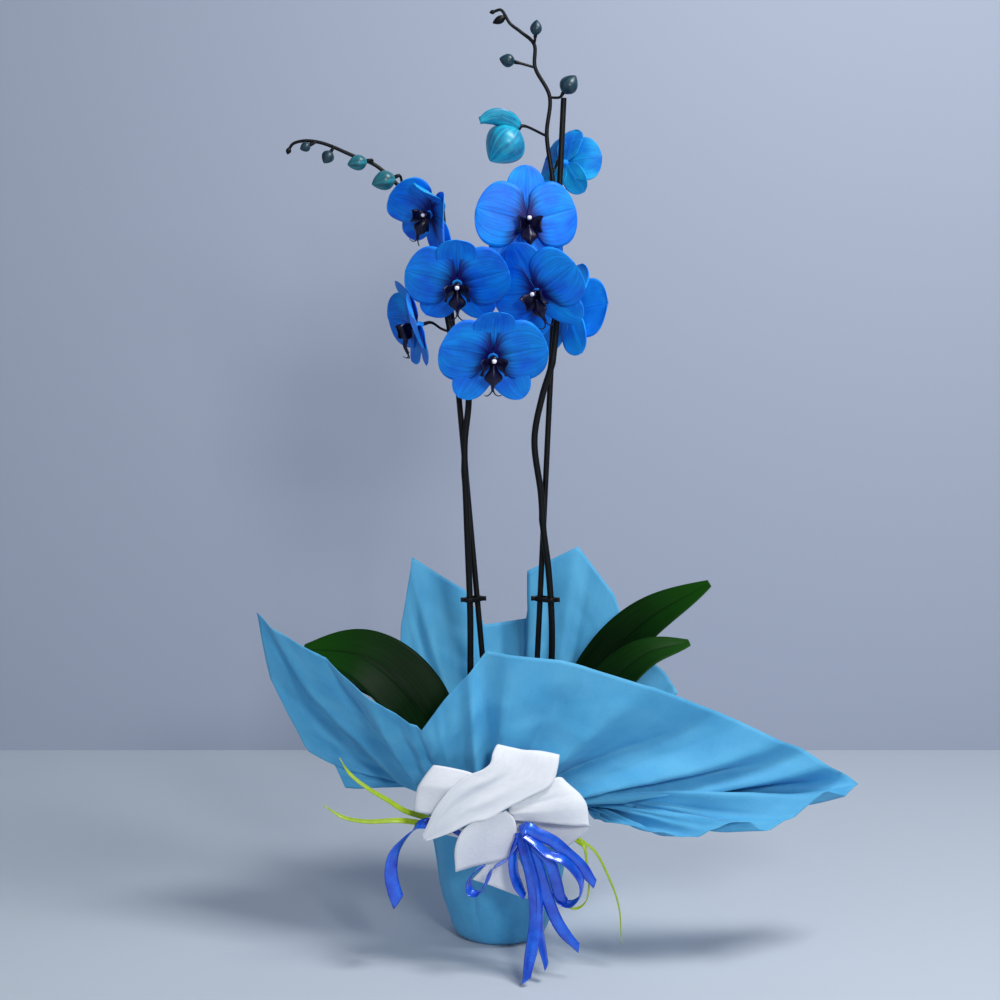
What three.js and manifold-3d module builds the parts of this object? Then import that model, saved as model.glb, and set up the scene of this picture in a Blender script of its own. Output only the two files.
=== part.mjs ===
// A dyed blue moth orchid (Phalaenopsis) with two staked flower spikes, in a grower's pot that is
// wrapped in sheet, gathered at the pot's rim and tied with a bow.
// Millimetres, +Z up. The front faces -Y. The pot's centre is at x = y = 0 and the floor is z = 0.

import * as THREE from "three";
import { mergeVertices } from "three/addons/utils/BufferGeometryUtils.js";
import Module from "manifold-3d";

const wasm = await Module();
wasm.setup();

// Driving dimensions

const GAP = 0.3; // clearance between pieces that touch
const SHEET = 0.8; // thickness of wrap, petals and ribbons as solids
const POT = { base: 32, rim: 57.5, neck: 55, height: 110, rimDepth: 8, wall: 1.2 };
const BARK_TOP = 97;
const CROWN = { x: 11, y: 0, radius: 8, bottom: 74, top: 128 };
const WAIST = { radius: 62, z: 117, wall: 2.6 };
const STAKE_RADIUS = 2.5;
const STAKE_BOTTOM = 20;
const STEM_RADIUS = 2.8;
const PEDICEL_RADIUS = 1.4;
const CLIP = { z: 297, height: 4, wall: 1.6, slack: 0.6 };

const COLOURS = {
  petal: { color: "#1470f0", roughness: 0.5 },
  petalBack: { color: "#2f9cf0", roughness: 0.5 },
  lip: { color: "#0a0636", roughness: 0.4 },
  cap: { color: "#f2f2ff", roughness: 0.35 },
  budTeal: { color: "#1d7f90", roughness: 0.5 },
  budDark: { color: "#17394a", roughness: 0.5 },
  stem: { color: "#10151a", roughness: 0.5 },
  stake: { color: "#0b0d10", roughness: 0.4 },
  leaf: { color: "#12400f", roughness: 0.35 },
  root: { color: "#76805a", roughness: 0.7 },
  bark: { color: "#3a2a1c", roughness: 0.9 },
  pot: { color: "#33281f", roughness: 0.45 },
  wrap: { color: "#4ba0d6", roughness: 0.6 },
  bow: { color: "#e4e8ee", roughness: 0.7 },
  ribbon: { color: "#1046dd", roughness: 0.2 },
  grass: { color: "#9bbe1c", roughness: 0.5 },
};

// Solids and geometry helpers

const vec = (p) => new THREE.Vector3(...p);
const mix = THREE.MathUtils.lerp;
const radians = THREE.MathUtils.degToRad;

/** A geometry of positions and triangles only. */
function bodyOf(vertices, triangles) {
  const geometry = new THREE.BufferGeometry();
  geometry.setAttribute(
    "position",
    new THREE.Float32BufferAttribute(vertices.flatMap((v) => v.toArray()), 3),
  );
  geometry.setIndex(triangles.flat());
  return geometry;
}

function solidOf(geometry) {
  const bare = new THREE.BufferGeometry();
  bare.setAttribute("position", geometry.getAttribute("position"));
  bare.setIndex(geometry.getIndex());
  const merged = mergeVertices(bare, 1e-4);
  return new wasm.Manifold(
    new wasm.Mesh({
      numProp: 3,
      vertProperties: merged.getAttribute("position").array,
      triVerts: new Uint32Array(merged.getIndex().array),
    }),
  );
}

function geometryOf(solid) {
  const mesh = solid.getMesh();
  const geometry = new THREE.BufferGeometry();
  geometry.setAttribute("position", new THREE.BufferAttribute(mesh.vertProperties, 3));
  geometry.setIndex(new THREE.BufferAttribute(mesh.triVerts, 1));
  return geometry;
}

const fuse = (geometries) =>
  geometryOf(geometries.map(solidOf).reduce((joined, next) => joined.add(next)));

const carve = (geometry, cutters) =>
  geometryOf(cutters.map(solidOf).reduce((left, cutter) => left.subtract(cutter), solidOf(geometry)));

/** A closed sheet: point(u, v) is its middle surface, and both faces are triangulated alike. */
function sheet(point, rows, columns, thickness) {
  const middle = [];
  for (let i = 0; i <= rows; i++) {
    for (let j = 0; j <= columns; j++) middle.push(point(i / rows, j / columns));
  }
  const at = (i, j) => i * (columns + 1) + j;
  const clamp = (value, most) => Math.min(Math.max(value, 0), most);
  const front = [];
  const back = [];
  for (let i = 0; i <= rows; i++) {
    for (let j = 0; j <= columns; j++) {
      const along = middle[at(clamp(i + 1, rows), j)].clone().sub(middle[at(clamp(i - 1, rows), j)]);
      const across = middle[at(i, clamp(j + 1, columns))].clone().sub(middle[at(i, clamp(j - 1, columns))]);
      const offset = along.cross(across).normalize().multiplyScalar(thickness / 2);
      front.push(middle[at(i, j)].clone().add(offset));
      back.push(middle[at(i, j)].clone().sub(offset));
    }
  }
  const size = middle.length;
  const triangles = [];
  const wall = (a, b) => triangles.push([b, a, a + size], [b, a + size, b + size]);
  for (let i = 0; i < rows; i++) {
    for (let j = 0; j < columns; j++) {
      const [a, b, c, d] = [at(i, j), at(i + 1, j), at(i + 1, j + 1), at(i, j + 1)];
      triangles.push([a, b, c], [a, c, d]);
      triangles.push([a + size, c + size, b + size], [a + size, d + size, c + size]);
    }
  }
  for (let i = 0; i < rows; i++) {
    wall(at(i, 0), at(i + 1, 0));
    wall(at(i + 1, columns), at(i, columns));
  }
  for (let j = 0; j < columns; j++) {
    wall(at(0, j + 1), at(0, j));
    wall(at(rows, j), at(rows, j + 1));
  }
  return bodyOf([...front, ...back], triangles);
}

/** A round rod through points, with radiusAt(t) as its radius, flat ends and pieces steps a point. */
function rod(points, radiusAt, sides, pieces) {
  const curve = new THREE.CatmullRomCurve3(points.map(vec), false, "centripetal");
  const steps = pieces * (points.length - 1);
  const normal = new THREE.Vector3(0.31, 0.9, 0.3);
  const vertices = [];
  const triangles = [];
  for (let i = 0; i <= steps; i++) {
    const centre = curve.getPoint(i / steps);
    const tangent = curve.getTangent(i / steps);
    normal.addScaledVector(tangent, -normal.dot(tangent)).normalize();
    const binormal = tangent.clone().cross(normal);
    const reach = radiusAt(i / steps);
    for (let s = 0; s < sides; s++) {
      const angle = (2 * Math.PI * s) / sides;
      vertices.push(
        centre
          .clone()
          .addScaledVector(normal, Math.cos(angle) * reach)
          .addScaledVector(binormal, Math.sin(angle) * reach),
      );
    }
  }
  for (let i = 0; i < steps; i++) {
    for (let s = 0; s < sides; s++) {
      const a = i * sides + s;
      const b = i * sides + ((s + 1) % sides);
      triangles.push([a, b, b + sides], [a, b + sides, a + sides]);
    }
  }
  const last = steps * sides;
  for (let s = 1; s < sides - 1; s++) {
    triangles.push([0, s + 1, s], [last, last + s, last + s + 1]);
  }
  return bodyOf(vertices, triangles);
}

/** A turned solid about +Z from [radius, z] points, listed up the outside. */
function turned(profile, segments) {
  const points = profile.map(([r, z]) => new THREE.Vector2(r, z));
  return new THREE.LatheGeometry(points, segments).rotateX(Math.PI / 2);
}

/** A flat strip along a curve; sides are its width directions, shared out along it. */
function strip(points, sides, width, steps, thickness = SHEET) {
  const curve = new THREE.CatmullRomCurve3(points.map(vec), false, "centripetal");
  const spread = sides.map((side) => vec(side).normalize());
  return sheet(
    (u, v) => {
      const place = u * (spread.length - 1);
      const index = Math.max(0, Math.min(Math.floor(place), spread.length - 2));
      const side = spread[index].clone().lerp(spread[Math.min(index + 1, spread.length - 1)], place - index);
      side.addScaledVector(curve.getTangentAt(u), -side.dot(curve.getTangentAt(u))).normalize();
      const breadth = typeof width === "function" ? width(u) : width;
      return curve.getPointAt(u).addScaledVector(side, (v - 0.5) * breadth);
    },
    steps,
    1,
    thickness,
  );
}

/** A sheet through rails of as many points each: it runs along them and curves from one to the next. */
function loft(rails, rows, columns, thickness = SHEET) {
  const curveOf = (points) => new THREE.CatmullRomCurve3(points, false, "centripetal");
  const curves = rails.map((rail) => curveOf(rail.map(vec)));
  const point = (u, v) => curveOf(curves.map((curve) => curve.getPoint(u))).getPoint(v);
  return sheet(point, rows, columns, thickness);
}

const scene = new THREE.Group();

function addNode(name, geometry, look, parent = scene) {
  const mesh = new THREE.Mesh(geometry, new THREE.MeshStandardMaterial({ metalness: 0, ...COLOURS[look] }));
  mesh.name = name;
  parent.add(mesh);
  return mesh;
}

// Pot, bark, crown and stakes

const POT_FLOOR = SHEET + GAP;
const STAKES = {
  left: { foot: [4.6, 7, STAKE_BOTTOM], tip: [-50.3, 7, 643] },
  right: { foot: [22.8, 7, STAKE_BOTTOM], tip: [54, 7, 728.5] },
};

function stakePoint(side, z) {
  const { foot, tip } = STAKES[side];
  return vec(foot).lerp(vec(tip), (z - foot[2]) / (tip[2] - foot[2]));
}

function growerPot() {
  const top = POT_FLOOR + POT.height;
  const ledge = top - POT.rimDepth;
  return turned(
    [
      [0, POT_FLOOR],
      [POT.base, POT_FLOOR],
      [POT.neck, ledge],
      [POT.rim, ledge + 1],
      [POT.rim, top],
      [POT.rim - POT.wall, top],
      [POT.rim - POT.wall, ledge + 1 + POT.wall],
      [POT.neck - POT.wall, ledge + POT.wall],
      [POT.base - POT.wall, POT_FLOOR + POT.wall],
      [0, POT_FLOOR + POT.wall],
    ],
    24,
  );
}

/** Coarse bark filling, its top raised and sunk by a formula, with plain holes for what stands in it. */
function barkMix() {
  const bottom = POT_FLOOR + POT.wall + GAP;
  const slope = (POT.neck - POT.base) / (POT.height - POT.rimDepth);
  const radiusAt = (z) => POT.base - POT.wall - 3 * GAP + slope * (z - POT_FLOOR);
  const rings = [1, 0.82, 0.6, 0.35];
  const fill = turned(
    [
      [0, bottom],
      [radiusAt(bottom), bottom],
      ...rings.map((share) => [share * radiusAt(BARK_TOP), BARK_TOP]),
      [0, BARK_TOP],
    ],
    20,
  );
  const position = fill.getAttribute("position");
  for (let i = 0; i < position.count; i++) {
    const [x, y, z] = [position.getX(i), position.getY(i), position.getZ(i)];
    if (z > BARK_TOP - 1 && Math.hypot(x, y) < 0.9 * POT.neck) {
      const lump = Math.sin(x * 0.37 + 1.3) * Math.cos(y * 0.31) + 0.6 * Math.sin(x * 0.9 + y * 0.7);
      position.setZ(i, z + 2.2 * lump);
    }
  }
  const holes = Object.keys(STAKES).map((side) =>
    rod(
      [stakePoint(side, STAKE_BOTTOM - GAP).toArray(), stakePoint(side, BARK_TOP + 12).toArray()],
      () => STAKE_RADIUS + 0.4,
      8,
      1,
    ),
  );
  const socket = new THREE.CylinderGeometry(CROWN.radius + 0.4, CROWN.radius + 0.4, 60, 12)
    .rotateX(Math.PI / 2)
    .translate(CROWN.x, CROWN.y, CROWN.bottom - GAP + 30);
  return carve(fill, [...holes, socket]);
}

/** Short stem that the leaves and spikes grow from, with two aerial roots over the bark. */
function crown() {
  const stem = turned(
    [
      [0, CROWN.bottom],
      [CROWN.radius, CROWN.bottom],
      [CROWN.radius, CROWN.top - 6],
      [CROWN.radius * 0.6, CROWN.top],
      [0, CROWN.top + 1],
    ],
    12,
  ).translate(CROWN.x, CROWN.y, 0);
  const roots = [
    [[10, -4, 104.5], [3, -18, 105], [-20, -30, 104.5], [-28, -32, 105]],
    [[13, -2, 110], [20, -20, 111], [26, -38, 107], [20, -44, 108]],
  ];
  return fuse([stem, ...roots.map((points) => rod(points, (t) => 2.4 - 0.8 * t, 5, 2))]);
}

addNode("grower_pot", growerPot(), "pot");
addNode("bark_mix", barkMix(), "bark");
addNode("crown", crown(), "root");
for (const side of Object.keys(STAKES)) {
  const { foot, tip } = STAKES[side];
  addNode(`stake_${side}`, rod([foot, tip], () => STAKE_RADIUS, 8, 1), "stake");
}

// Leaves: each is a channelled blade along its midrib, its upper face turned to the given direction

const LEAVES = {
  leaf_left_upper: {
    rib: [
      [3.1, -3.6, 108],
      [-14, -9, 112],
      [-42, -22, 156],
      [-78, -24, 220],
      [-118, -18, 252],
      [-170, -14, 258],
    ],
    face: [0.15, -0.72, 0.68],
    width: 60,
  },
  leaf_left_lower: {
    rib: [[7, 9.5, 102.5], [1, 25, 105.5], [-36, 34, 146], [-84, 28, 200], [-124, 22, 222], [-164, 12, 226]],
    face: [0.1, -0.35, 0.94],
    width: 54,
  },
  leaf_right_upper: {
    rib: [[14, 8.4, 107], [21, 26, 112], [52, 30, 160], [87, 23, 230], [127, 20, 275], [185, 20, 310]],
    face: [-0.35, -0.75, 0.56],
    width: 44,
  },
  leaf_right_lower: {
    rib: [[19.5, -4, 105], [38, -13, 122], [68, -18, 174], [93, -18, 224], [126, -12, 253], [165, -4, 262]],
    face: [-0.25, -0.68, 0.68],
    width: 40,
  },
  leaf_back_young: {
    rib: [[10, 9.6, 116], [10, 16, 128], [8, 24, 160], [2, 34, 190], [-6, 48, 212], [-16, 64, 222]],
    face: [0.1, -0.9, 0.4],
    width: 34,
  },
};
const LEAF = { thickness: 1.6, rows: 9, columns: 4, foot: 0.26, fold: 0.3 };

/** Half the breadth of a leaf at t along it, as a share: a narrow clasping foot, full middle, short tip. */
function leafBreadth(t) {
  const body = Math.pow(Math.sin(Math.PI * Math.pow(0.08 + 0.9 * t, 1.6)), 0.8);
  return Math.max(body, mix(LEAF.foot, 0, t * 3), 0.05);
}

/** A leaf starts level with its channel open upwards and turns its upper face on the way out. */
function leaf({ rib, face, width }) {
  const curve = new THREE.CatmullRomCurve3(rib.map(vec), false, "centripetal");
  const turnedTo = vec(face).normalize();
  return sheet(
    (u, v) => {
      const upper = new THREE.Vector3(0, 0, 1).lerp(turnedTo, Math.min(1, u * 2.2));
      const tangent = curve.getTangentAt(u);
      const side = upper.cross(tangent).normalize();
      const normal = tangent.clone().cross(side);
      const across = (2 * v - 1) * (width / 2) * leafBreadth(u);
      return curve
        .getPointAt(u)
        .addScaledVector(side, across)
        .addScaledVector(normal, LEAF.fold * Math.abs(across) * (1 - 0.6 * u));
    },
    LEAF.rows,
    LEAF.columns,
    LEAF.thickness,
  );
}

for (const [name, form] of Object.entries(LEAVES)) addNode(name, leaf(form), "leaf");

// Blooms: in a bloom's own frame x is right, y is up and z comes out of its face

const SEPALS = [
  { angle: 90, length: 46, width: 33, lift: -1 },
  { angle: -53, length: 43, width: 30, lift: -1 },
  { angle: -127, length: 43, width: 30, lift: -1 },
];
const PETALS = [
  { angle: 15, length: 43, width: 54, lift: 2 },
  { angle: 165, length: 43, width: 54, lift: 2 },
];
const BLADE = { start: 0.07, end: 0.985, belly: 0.55, power: 2.2, claw: 0.35, flare: 3.2, crowding: 1.4 };
const RECEPTACLE = { back: -8, front: 3, radius: 4.6, neck: 2 };
const CAP = { y: 2.4, z: 12.2, radius: 1.8 };

/** The breadth of a petal or sepal at t along it, as a share: an oval on a narrower claw. */
function bladeBreadth(t) {
  const reach = t < BLADE.belly ? BLADE.belly : 1 - BLADE.belly;
  const oval = Math.sqrt(1 - Math.pow(Math.abs(t - BLADE.belly) / reach, BLADE.power));
  return oval * Math.min(1, BLADE.claw + BLADE.flare * t);
}

/** One petal or sepal: a rounded blade that leaves the flower's middle at an angle and bends along an arc. */
function floralBlade({ angle, length, width, lift }, bend, rows, columns) {
  const out = new THREE.Vector2(Math.cos(radians(angle)), Math.sin(radians(angle)));
  const turn = Math.abs(bend) < 0.01 ? 0.01 : bend;
  return sheet(
    (u, v) => {
      const t = mix(BLADE.start, BLADE.end, 1 - Math.pow(1 - u, BLADE.crowding));
      const across = (v - 0.5) * width * bladeBreadth(t);
      const along = (length * Math.sin(turn * t)) / turn;
      const rise = (length * (1 - Math.cos(turn * t))) / turn;
      const wave = 0.5 * Math.sin(t * 7 + v * 3) * t;
      const z = lift + rise - 0.002 * across * across + wave;
      return new THREE.Vector3(out.x * along - out.y * across, out.y * along + out.x * across, z);
    },
    rows,
    columns,
    SHEET,
  );
}

/** The five blades of a bloom on their heart: bends are in radians, positive towards the viewer. */
function perianth({ petals, dorsal, lower }) {
  const { back, front, radius, neck } = RECEPTACLE;
  const heart = turned([[0, back], [neck, back], [radius, -1.5], [radius, front], [0, front]], 6);
  const sepalBends = [dorsal, lower, lower];
  return fuse([
    heart,
    ...SEPALS.map((form, index) => floralBlade(form, sepalBends[index], 4, 2)),
    ...PETALS.map((form) => floralBlade(form, petals, 4, 3)),
  ]);
}

/** The lip: column, two raised side lobes and an arrow-shaped middle lobe with two tendrils. */
function lip() {
  const column = rod([[0, 0, RECEPTACLE.front + 1.5 * GAP], [0, 0.3, 6], [0, 2, 10]], () => 2.7, 5, 1);
  const tongue = strip(
    [[0, -1, 6], [0, -7, 11.5], [0, -15, 14.8], [0, -24, 12.8]],
    [[1, 0, 0]],
    (u) => mix(5, 1.6, u) + 11 * Math.exp(-Math.pow((u - 0.52) / 0.2, 2)),
    5,
  );
  const lobeRib = (hand) => [[hand * 1.5, -1, 6.5], [hand * 7, -3, 10], [hand * 9.5, -3, 14.5]];
  const sideLobe = (hand) => strip(lobeRib(hand), [[0, 1, 0.2]], (u) => 6 + 9 * u, 2);
  const tendril = (hand) =>
    rod([[hand * 0.2, -22.8, 13], [hand * 3, -27.4, 12.8], [hand * 6.5, -26, 16]], () => 0.6, 3, 1);
  return fuse([column, tongue, sideLobe(1), sideLobe(-1), tendril(1), tendril(-1)]);
}

// cap is where the white anther cap lies, face where the bloom looks, from its place on the stem, and
// bends how far petals, dorsal sepal and lower sepals curl towards the viewer, in radians
const BLOOMS = [
  {
    name: "bloom_right_1",
    spike: "right",
    cap: [24.4, -38, 626.6],
    face: [0.18, -1, 0.04],
    from: [48.5, 0, 606],
    route: [[40, -8, 614]],
    bends: { petals: -0.16, dorsal: -0.1, lower: -0.16 },
    scale: 1.02,
    look: "petal",
  },
  {
    name: "bloom_right_2",
    spike: "right",
    cap: [26.4, -49, 563.4],
    face: [-0.36, -0.86, -0.34],
    from: [48.7, 0, 550],
    route: [[46, -12, 560]],
    roll: 20,
    bends: { petals: -0.1, dorsal: 0.2, lower: 0 },
    scale: 1,
    look: "petal",
  },
  {
    name: "bloom_right_3",
    spike: "right",
    cap: [69, 17, 546],
    face: [0.78, 0.58, -0.25],
    from: [48.7, 0, 538],
    route: [[53, -3, 546]],
    bends: { petals: 0.25, dorsal: 0.2, lower: 0.1 },
    scale: 0.98,
    look: "petalBack",
  },
  {
    name: "bloom_right_4",
    spike: "right",
    cap: [62, 37, 675],
    face: [0.55, 0.79, -0.25],
    from: [45.2, 0, 656],
    route: [[43, 10, 662], [47, 19, 670]],
    bends: { petals: 0.6, dorsal: 0.5, lower: 0.4 },
    scale: 0.74,
    look: "petalBack",
  },
  {
    name: "bloom_left_1",
    spike: "left",
    cap: [-35.2, -62, 568.5],
    face: [0, -0.84, -0.54],
    from: [-47.6, 0, 562],
    route: [[-44, -16, 576]],
    bends: { petals: -0.12, dorsal: 0.42, lower: -0.15 },
    scale: 1.02,
    look: "petal",
  },
  {
    name: "bloom_left_2",
    spike: "left",
    cap: [-4.6, -76, 509],
    face: [0.1, -0.88, -0.47],
    from: [-31.4, 0, 500],
    route: [[-23, -20, 510]],
    bends: { petals: 0.15, dorsal: 0.5, lower: 0.3 },
    scale: 1.06,
    look: "petal",
  },
  {
    name: "bloom_left_3",
    spike: "left",
    cap: [-64.1, -32, 628.8],
    face: [-0.62, -0.72, -0.28],
    from: [-53.6, 0, 601],
    route: [[-48, -5, 616]],
    roll: -30,
    bends: { petals: 1.15, dorsal: 1.35, lower: 0 },
    scale: 0.9,
    look: "petal",
  },
  {
    name: "bloom_left_4",
    spike: "left",
    cap: [-83, -4, 536.5],
    face: [-0.93, -0.3, -0.2],
    from: [-41.8, 0, 531],
    route: [[-50, -2, 534]],
    bends: { petals: 0.6, dorsal: 0.5, lower: 0.2 },
    scale: 0.92,
    look: "petal",
  },
];

/** A bloom's position and turn from its face direction, roll and the place of its cap. */
function bloomFrame({ cap, face, roll = 0, scale }) {
  const out = vec(face).normalize();
  const right = new THREE.Vector3(0, 0, 1).cross(out).normalize();
  const up = out.clone().cross(right);
  const turn = new THREE.Quaternion().setFromRotationMatrix(new THREE.Matrix4().makeBasis(right, up, out));
  turn.multiply(new THREE.Quaternion().setFromAxisAngle(new THREE.Vector3(0, 0, 1), radians(roll)));
  const centre = vec(cap).sub(new THREE.Vector3(0, CAP.y, CAP.z).multiplyScalar(scale).applyQuaternion(turn));
  return { turn, centre, out };
}

for (const bloom of BLOOMS) {
  const { turn, centre } = bloomFrame(bloom);
  const head = new THREE.Group();
  head.position.copy(centre);
  head.quaternion.copy(turn);
  head.scale.setScalar(bloom.scale);
  scene.add(head);
  addNode(`${bloom.name}_petals`, perianth(bloom.bends), bloom.look, head);
  addNode(`${bloom.name}_lip`, lip(), "lip", head);
  const cap = new THREE.SphereGeometry(CAP.radius, 6, 4).translate(0, CAP.y, CAP.z);
  addNode(`${bloom.name}_cap`, cap, "cap", head);
}

// Buds: base is the end at the pedicel and axis points to the tip

const BUDS = [
  {
    name: "bud_left_1",
    base: [-88, -14, 661],
    axis: [-0.9, -0.25, -0.3],
    length: 21,
    radius: 8.2,
    spike: "left",
    from: [-82, -5.5, 650],
    look: "budTeal",
  },
  {
    name: "bud_left_2",
    base: [-111, -19, 674],
    axis: [-0.95, -0.2, -0.2],
    length: 17,
    radius: 6.6,
    spike: "left",
    from: [-108, -9.5, 672],
    look: "budTeal",
  },
  {
    name: "bud_left_3",
    base: [-141, -19, 682],
    axis: [-0.5, -0.2, -0.85],
    length: 12,
    radius: 5.4,
    spike: "left",
    from: [-141, -14.3, 686],
    look: "budDark",
  },
  {
    name: "bud_left_4",
    base: [-158, -22, 687],
    axis: [-0.85, -0.2, -0.4],
    length: 9.5,
    radius: 4.2,
    spike: "left",
    from: [-155, -15.8, 690],
    look: "budDark",
  },
  {
    name: "bud_right_1",
    base: [53, -1, 731.5],
    axis: [0.6, -0.1, 0.8],
    length: 18,
    radius: 8,
    spike: "right",
    from: [41.8, 0, 728],
    look: "budDark",
  },
  {
    name: "bud_right_2",
    base: [12.6, -2, 757],
    axis: [-0.97, -0.1, 0.2],
    length: 13.5,
    radius: 5.7,
    spike: "right",
    from: [28.8, 0, 753],
    look: "budDark",
  },
  {
    name: "bud_right_3",
    base: [29.6, -3, 778.5],
    axis: [0.1, -0.1, 1],
    length: 13,
    radius: 5.1,
    spike: "right",
    from: [28.6, 0, 772],
    look: "budDark",
  },
];
const BUD_ROWS = [0, 0.1, 0.32, 0.6, 0.84, 1];

/** A turned bud, fuller towards its base. */
function budBody({ length, radius }) {
  const breadth = (t) => Math.pow(Math.sin(Math.PI * Math.pow(t, 0.85)), 0.75);
  const profile = BUD_ROWS.map((t) => [radius * breadth(t), length * t]);
  profile[0][0] = 0;
  profile[profile.length - 1][0] = 0;
  return turned(profile, 9);
}

/** The turn that brings +Z to a direction. */
const turnTo = (way) =>
  new THREE.Quaternion().setFromUnitVectors(new THREE.Vector3(0, 0, 1), vec(way).normalize());

function addBud(bud) {
  const mesh = addNode(bud.name, budBody(bud), bud.look);
  mesh.position.set(...bud.base);
  mesh.quaternion.copy(turnTo(bud.axis));
}

BUDS.forEach(addBud);

const OPENING = { base: [15.4, -17, 700], axis: [-0.66, -0.15, -0.73], length: 36, radius: 17.5 };
const LIFTED_SEPAL = [[15, -19, 702], [6, -26, 707], [-5, -29, 709.5], [-17, -29, 706]];

/** A bud's geometry at its base, turned to its axis. */
function placedBud(bud) {
  return budBody(bud).applyQuaternion(turnTo(bud.axis)).translate(...bud.base);
}

/** The bud that is opening: petals still folded in a ball, and one sepal lifted over it. */
function openingBud() {
  const breadth = (u) => 5 + 11 * Math.sin(Math.PI * (0.1 + 0.85 * u));
  return fuse([placedBud(OPENING), strip(LIFTED_SEPAL, [[0, -0.5, 0.85]], breadth, 5)]);
}

addNode("bud_right_opening", openingBud(), "budTeal");

// Flower spikes: stem, pedicels and the smallest tip buds grow as one piece

const SPIKES = {
  left: {
    stem: [
      [2.4, -2, 117],
      [-2.5, -2.4, 119],
      [-9, -2.6, 129],
      [-19, -1, 160],
      [-25, 0, 205],
      [-26, 0, 288],
      [-29, 0, 374],
      [-30.5, 0, 434],
      [-27, 0, 477],
      [-33, 0, 507],
      [-42, 0, 531],
      [-47, 0, 558],
      [-53.7, 0, 601],
      [-63.6, -2, 630],
      [-78.7, -5, 647],
      [-104, -9, 670.6],
      [-123, -12, 678.6],
      [-149, -15, 689],
      [-164, -17, 690.6],
      [-173, -18, 688],
      [-176.7, -18, 683],
    ],
    tips: [{ base: [-176, -18, 685], axis: [-0.3, 0, -1], length: 6, radius: 2.4 }],
  },
  right: {
    stem: [
      [20, -2, 117],
      [24, -2.2, 119],
      [31, -2, 129],
      [38, -0.5, 160],
      [43, 0, 205],
      [45.4, 0, 268],
      [42.3, 0, 324],
      [37.6, 0, 361],
      [35.4, 0, 392],
      [29.7, 0, 439],
      [36.5, 0, 477],
      [44.6, 0, 505],
      [48.7, 0, 548],
      [48.5, 0, 609],
      [44.9, 0, 658],
      [39.5, 0, 697],
      [41.8, 0, 729],
      [29.5, 0, 753],
      [28.6, 0, 772],
      [17.6, 0, 782],
      [8.4, 0, 789],
      [0.8, 0, 800],
      [-5.5, 0, 798.5],
    ],
    tips: [
      { base: [4.6, 0, 794.5], axis: [-0.9, 0, -0.45], length: 12, radius: 3.6 },
      { base: [-4, 0, 798.8], axis: [-1, 0, -0.2], length: 5, radius: 2 },
    ],
  },
};

function pedicel(points) {
  return rod(points, () => PEDICEL_RADIUS, 5, 1);
}

function bloomPedicel(bloom) {
  const { centre, out } = bloomFrame(bloom);
  const away = (distance) => centre.clone().addScaledVector(out, -distance * bloom.scale).toArray();
  const end = centre.clone().addScaledVector(out, RECEPTACLE.back * bloom.scale - GAP).toArray();
  return pedicel([bloom.from, ...bloom.route, away(15), end]);
}

function budPedicel({ base, axis, from }) {
  const out = vec(axis).normalize();
  const near = vec(base).addScaledVector(out, -GAP);
  return pedicel([from, near.clone().addScaledVector(out, -4).toArray(), near.toArray()]);
}

function flowerSpike(side) {
  const { stem, tips } = SPIKES[side];
  const axis = rod(stem, (t) => STEM_RADIUS * (t < 0.6 ? 1 : mix(1, 0.48, (t - 0.6) * 2.5)), 5, 2);
  const onSide = (item) => item.spike === side;
  const stalks = [...BLOOMS.filter(onSide).map(bloomPedicel), ...BUDS.filter(onSide).map(budPedicel)];
  return fuse([axis, ...stalks, ...tips.map(placedBud)]);
}

addNode("flower_spike_left", flowerSpike("left"), "stem");
addNode(
  "flower_spike_right",
  fuse([
    flowerSpike("right"),
    budPedicel({ ...OPENING, from: [39.8, 0, 696] }),
  ]),
  "stem",
);

// Clips that hold each stem to its stake

function stemPoint(side, z) {
  const curve = new THREE.CatmullRomCurve3(SPIKES[side].stem.map(vec), false, "centripetal");
  return curve.getPoints(800).find((point) => point.z >= z);
}

/** A band round stem and stake with a finger tab at each end. */
function stemClip(side) {
  const a = stemPoint(side, CLIP.z + CLIP.height / 2);
  const b = stakePoint(side, CLIP.z + CLIP.height / 2);
  const along = Math.atan2(b.y - a.y, b.x - a.x);
  const reach = STEM_RADIUS + CLIP.slack + CLIP.wall;
  const outline = new THREE.Shape();
  outline.absarc(a.x, a.y, reach, along + Math.PI / 2, along + Math.PI * 1.5, false);
  outline.absarc(b.x, b.y, reach, along - Math.PI / 2, along + Math.PI / 2, false);
  const band = new THREE.ExtrudeGeometry(outline, {
    depth: CLIP.height,
    bevelEnabled: false,
    curveSegments: 4,
  });
  const tab = (end, hand) =>
    new THREE.BoxGeometry(4, 1.8, CLIP.height)
      .translate(end.x + hand * (reach + 0.9), end.y, CLIP.height / 2);
  const hands = a.x < b.x ? [-1, 1] : [1, -1];
  const body = fuse([band, tab(a, hands[0]), tab(b, hands[1])]).translate(0, 0, CLIP.z);
  const bore = (point, radius) =>
    new THREE.CylinderGeometry(radius, radius, CLIP.height + 4, 8)
      .rotateX(Math.PI / 2)
      .translate(point.x, point.y, CLIP.z + CLIP.height / 2);
  return carve(body, [bore(a, STEM_RADIUS + CLIP.slack), bore(b, STAKE_RADIUS + CLIP.slack)]);
}

addNode("stem_clip_left", stemClip("left"), "stake");
addNode("stem_clip_right", stemClip("right"), "stake");

// Wrap: a pleated cup under and round the pot, and a flared skirt of folds above the tie

const PLEATS = 10;
const CUP_RINGS = [
  { z: 0, radius: 35, pleat: 0, wall: SHEET },
  { z: 5, radius: 41.5, pleat: 0.3, wall: SHEET },
  { z: 30, radius: 49, pleat: 0.8, wall: SHEET },
  { z: 81, radius: 57, pleat: 1, wall: SHEET },
  { z: 107, radius: 62, pleat: 0.9, wall: 2 },
  { z: 120, radius: 63.3, pleat: 0.9, wall: WAIST.wall },
];

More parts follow.
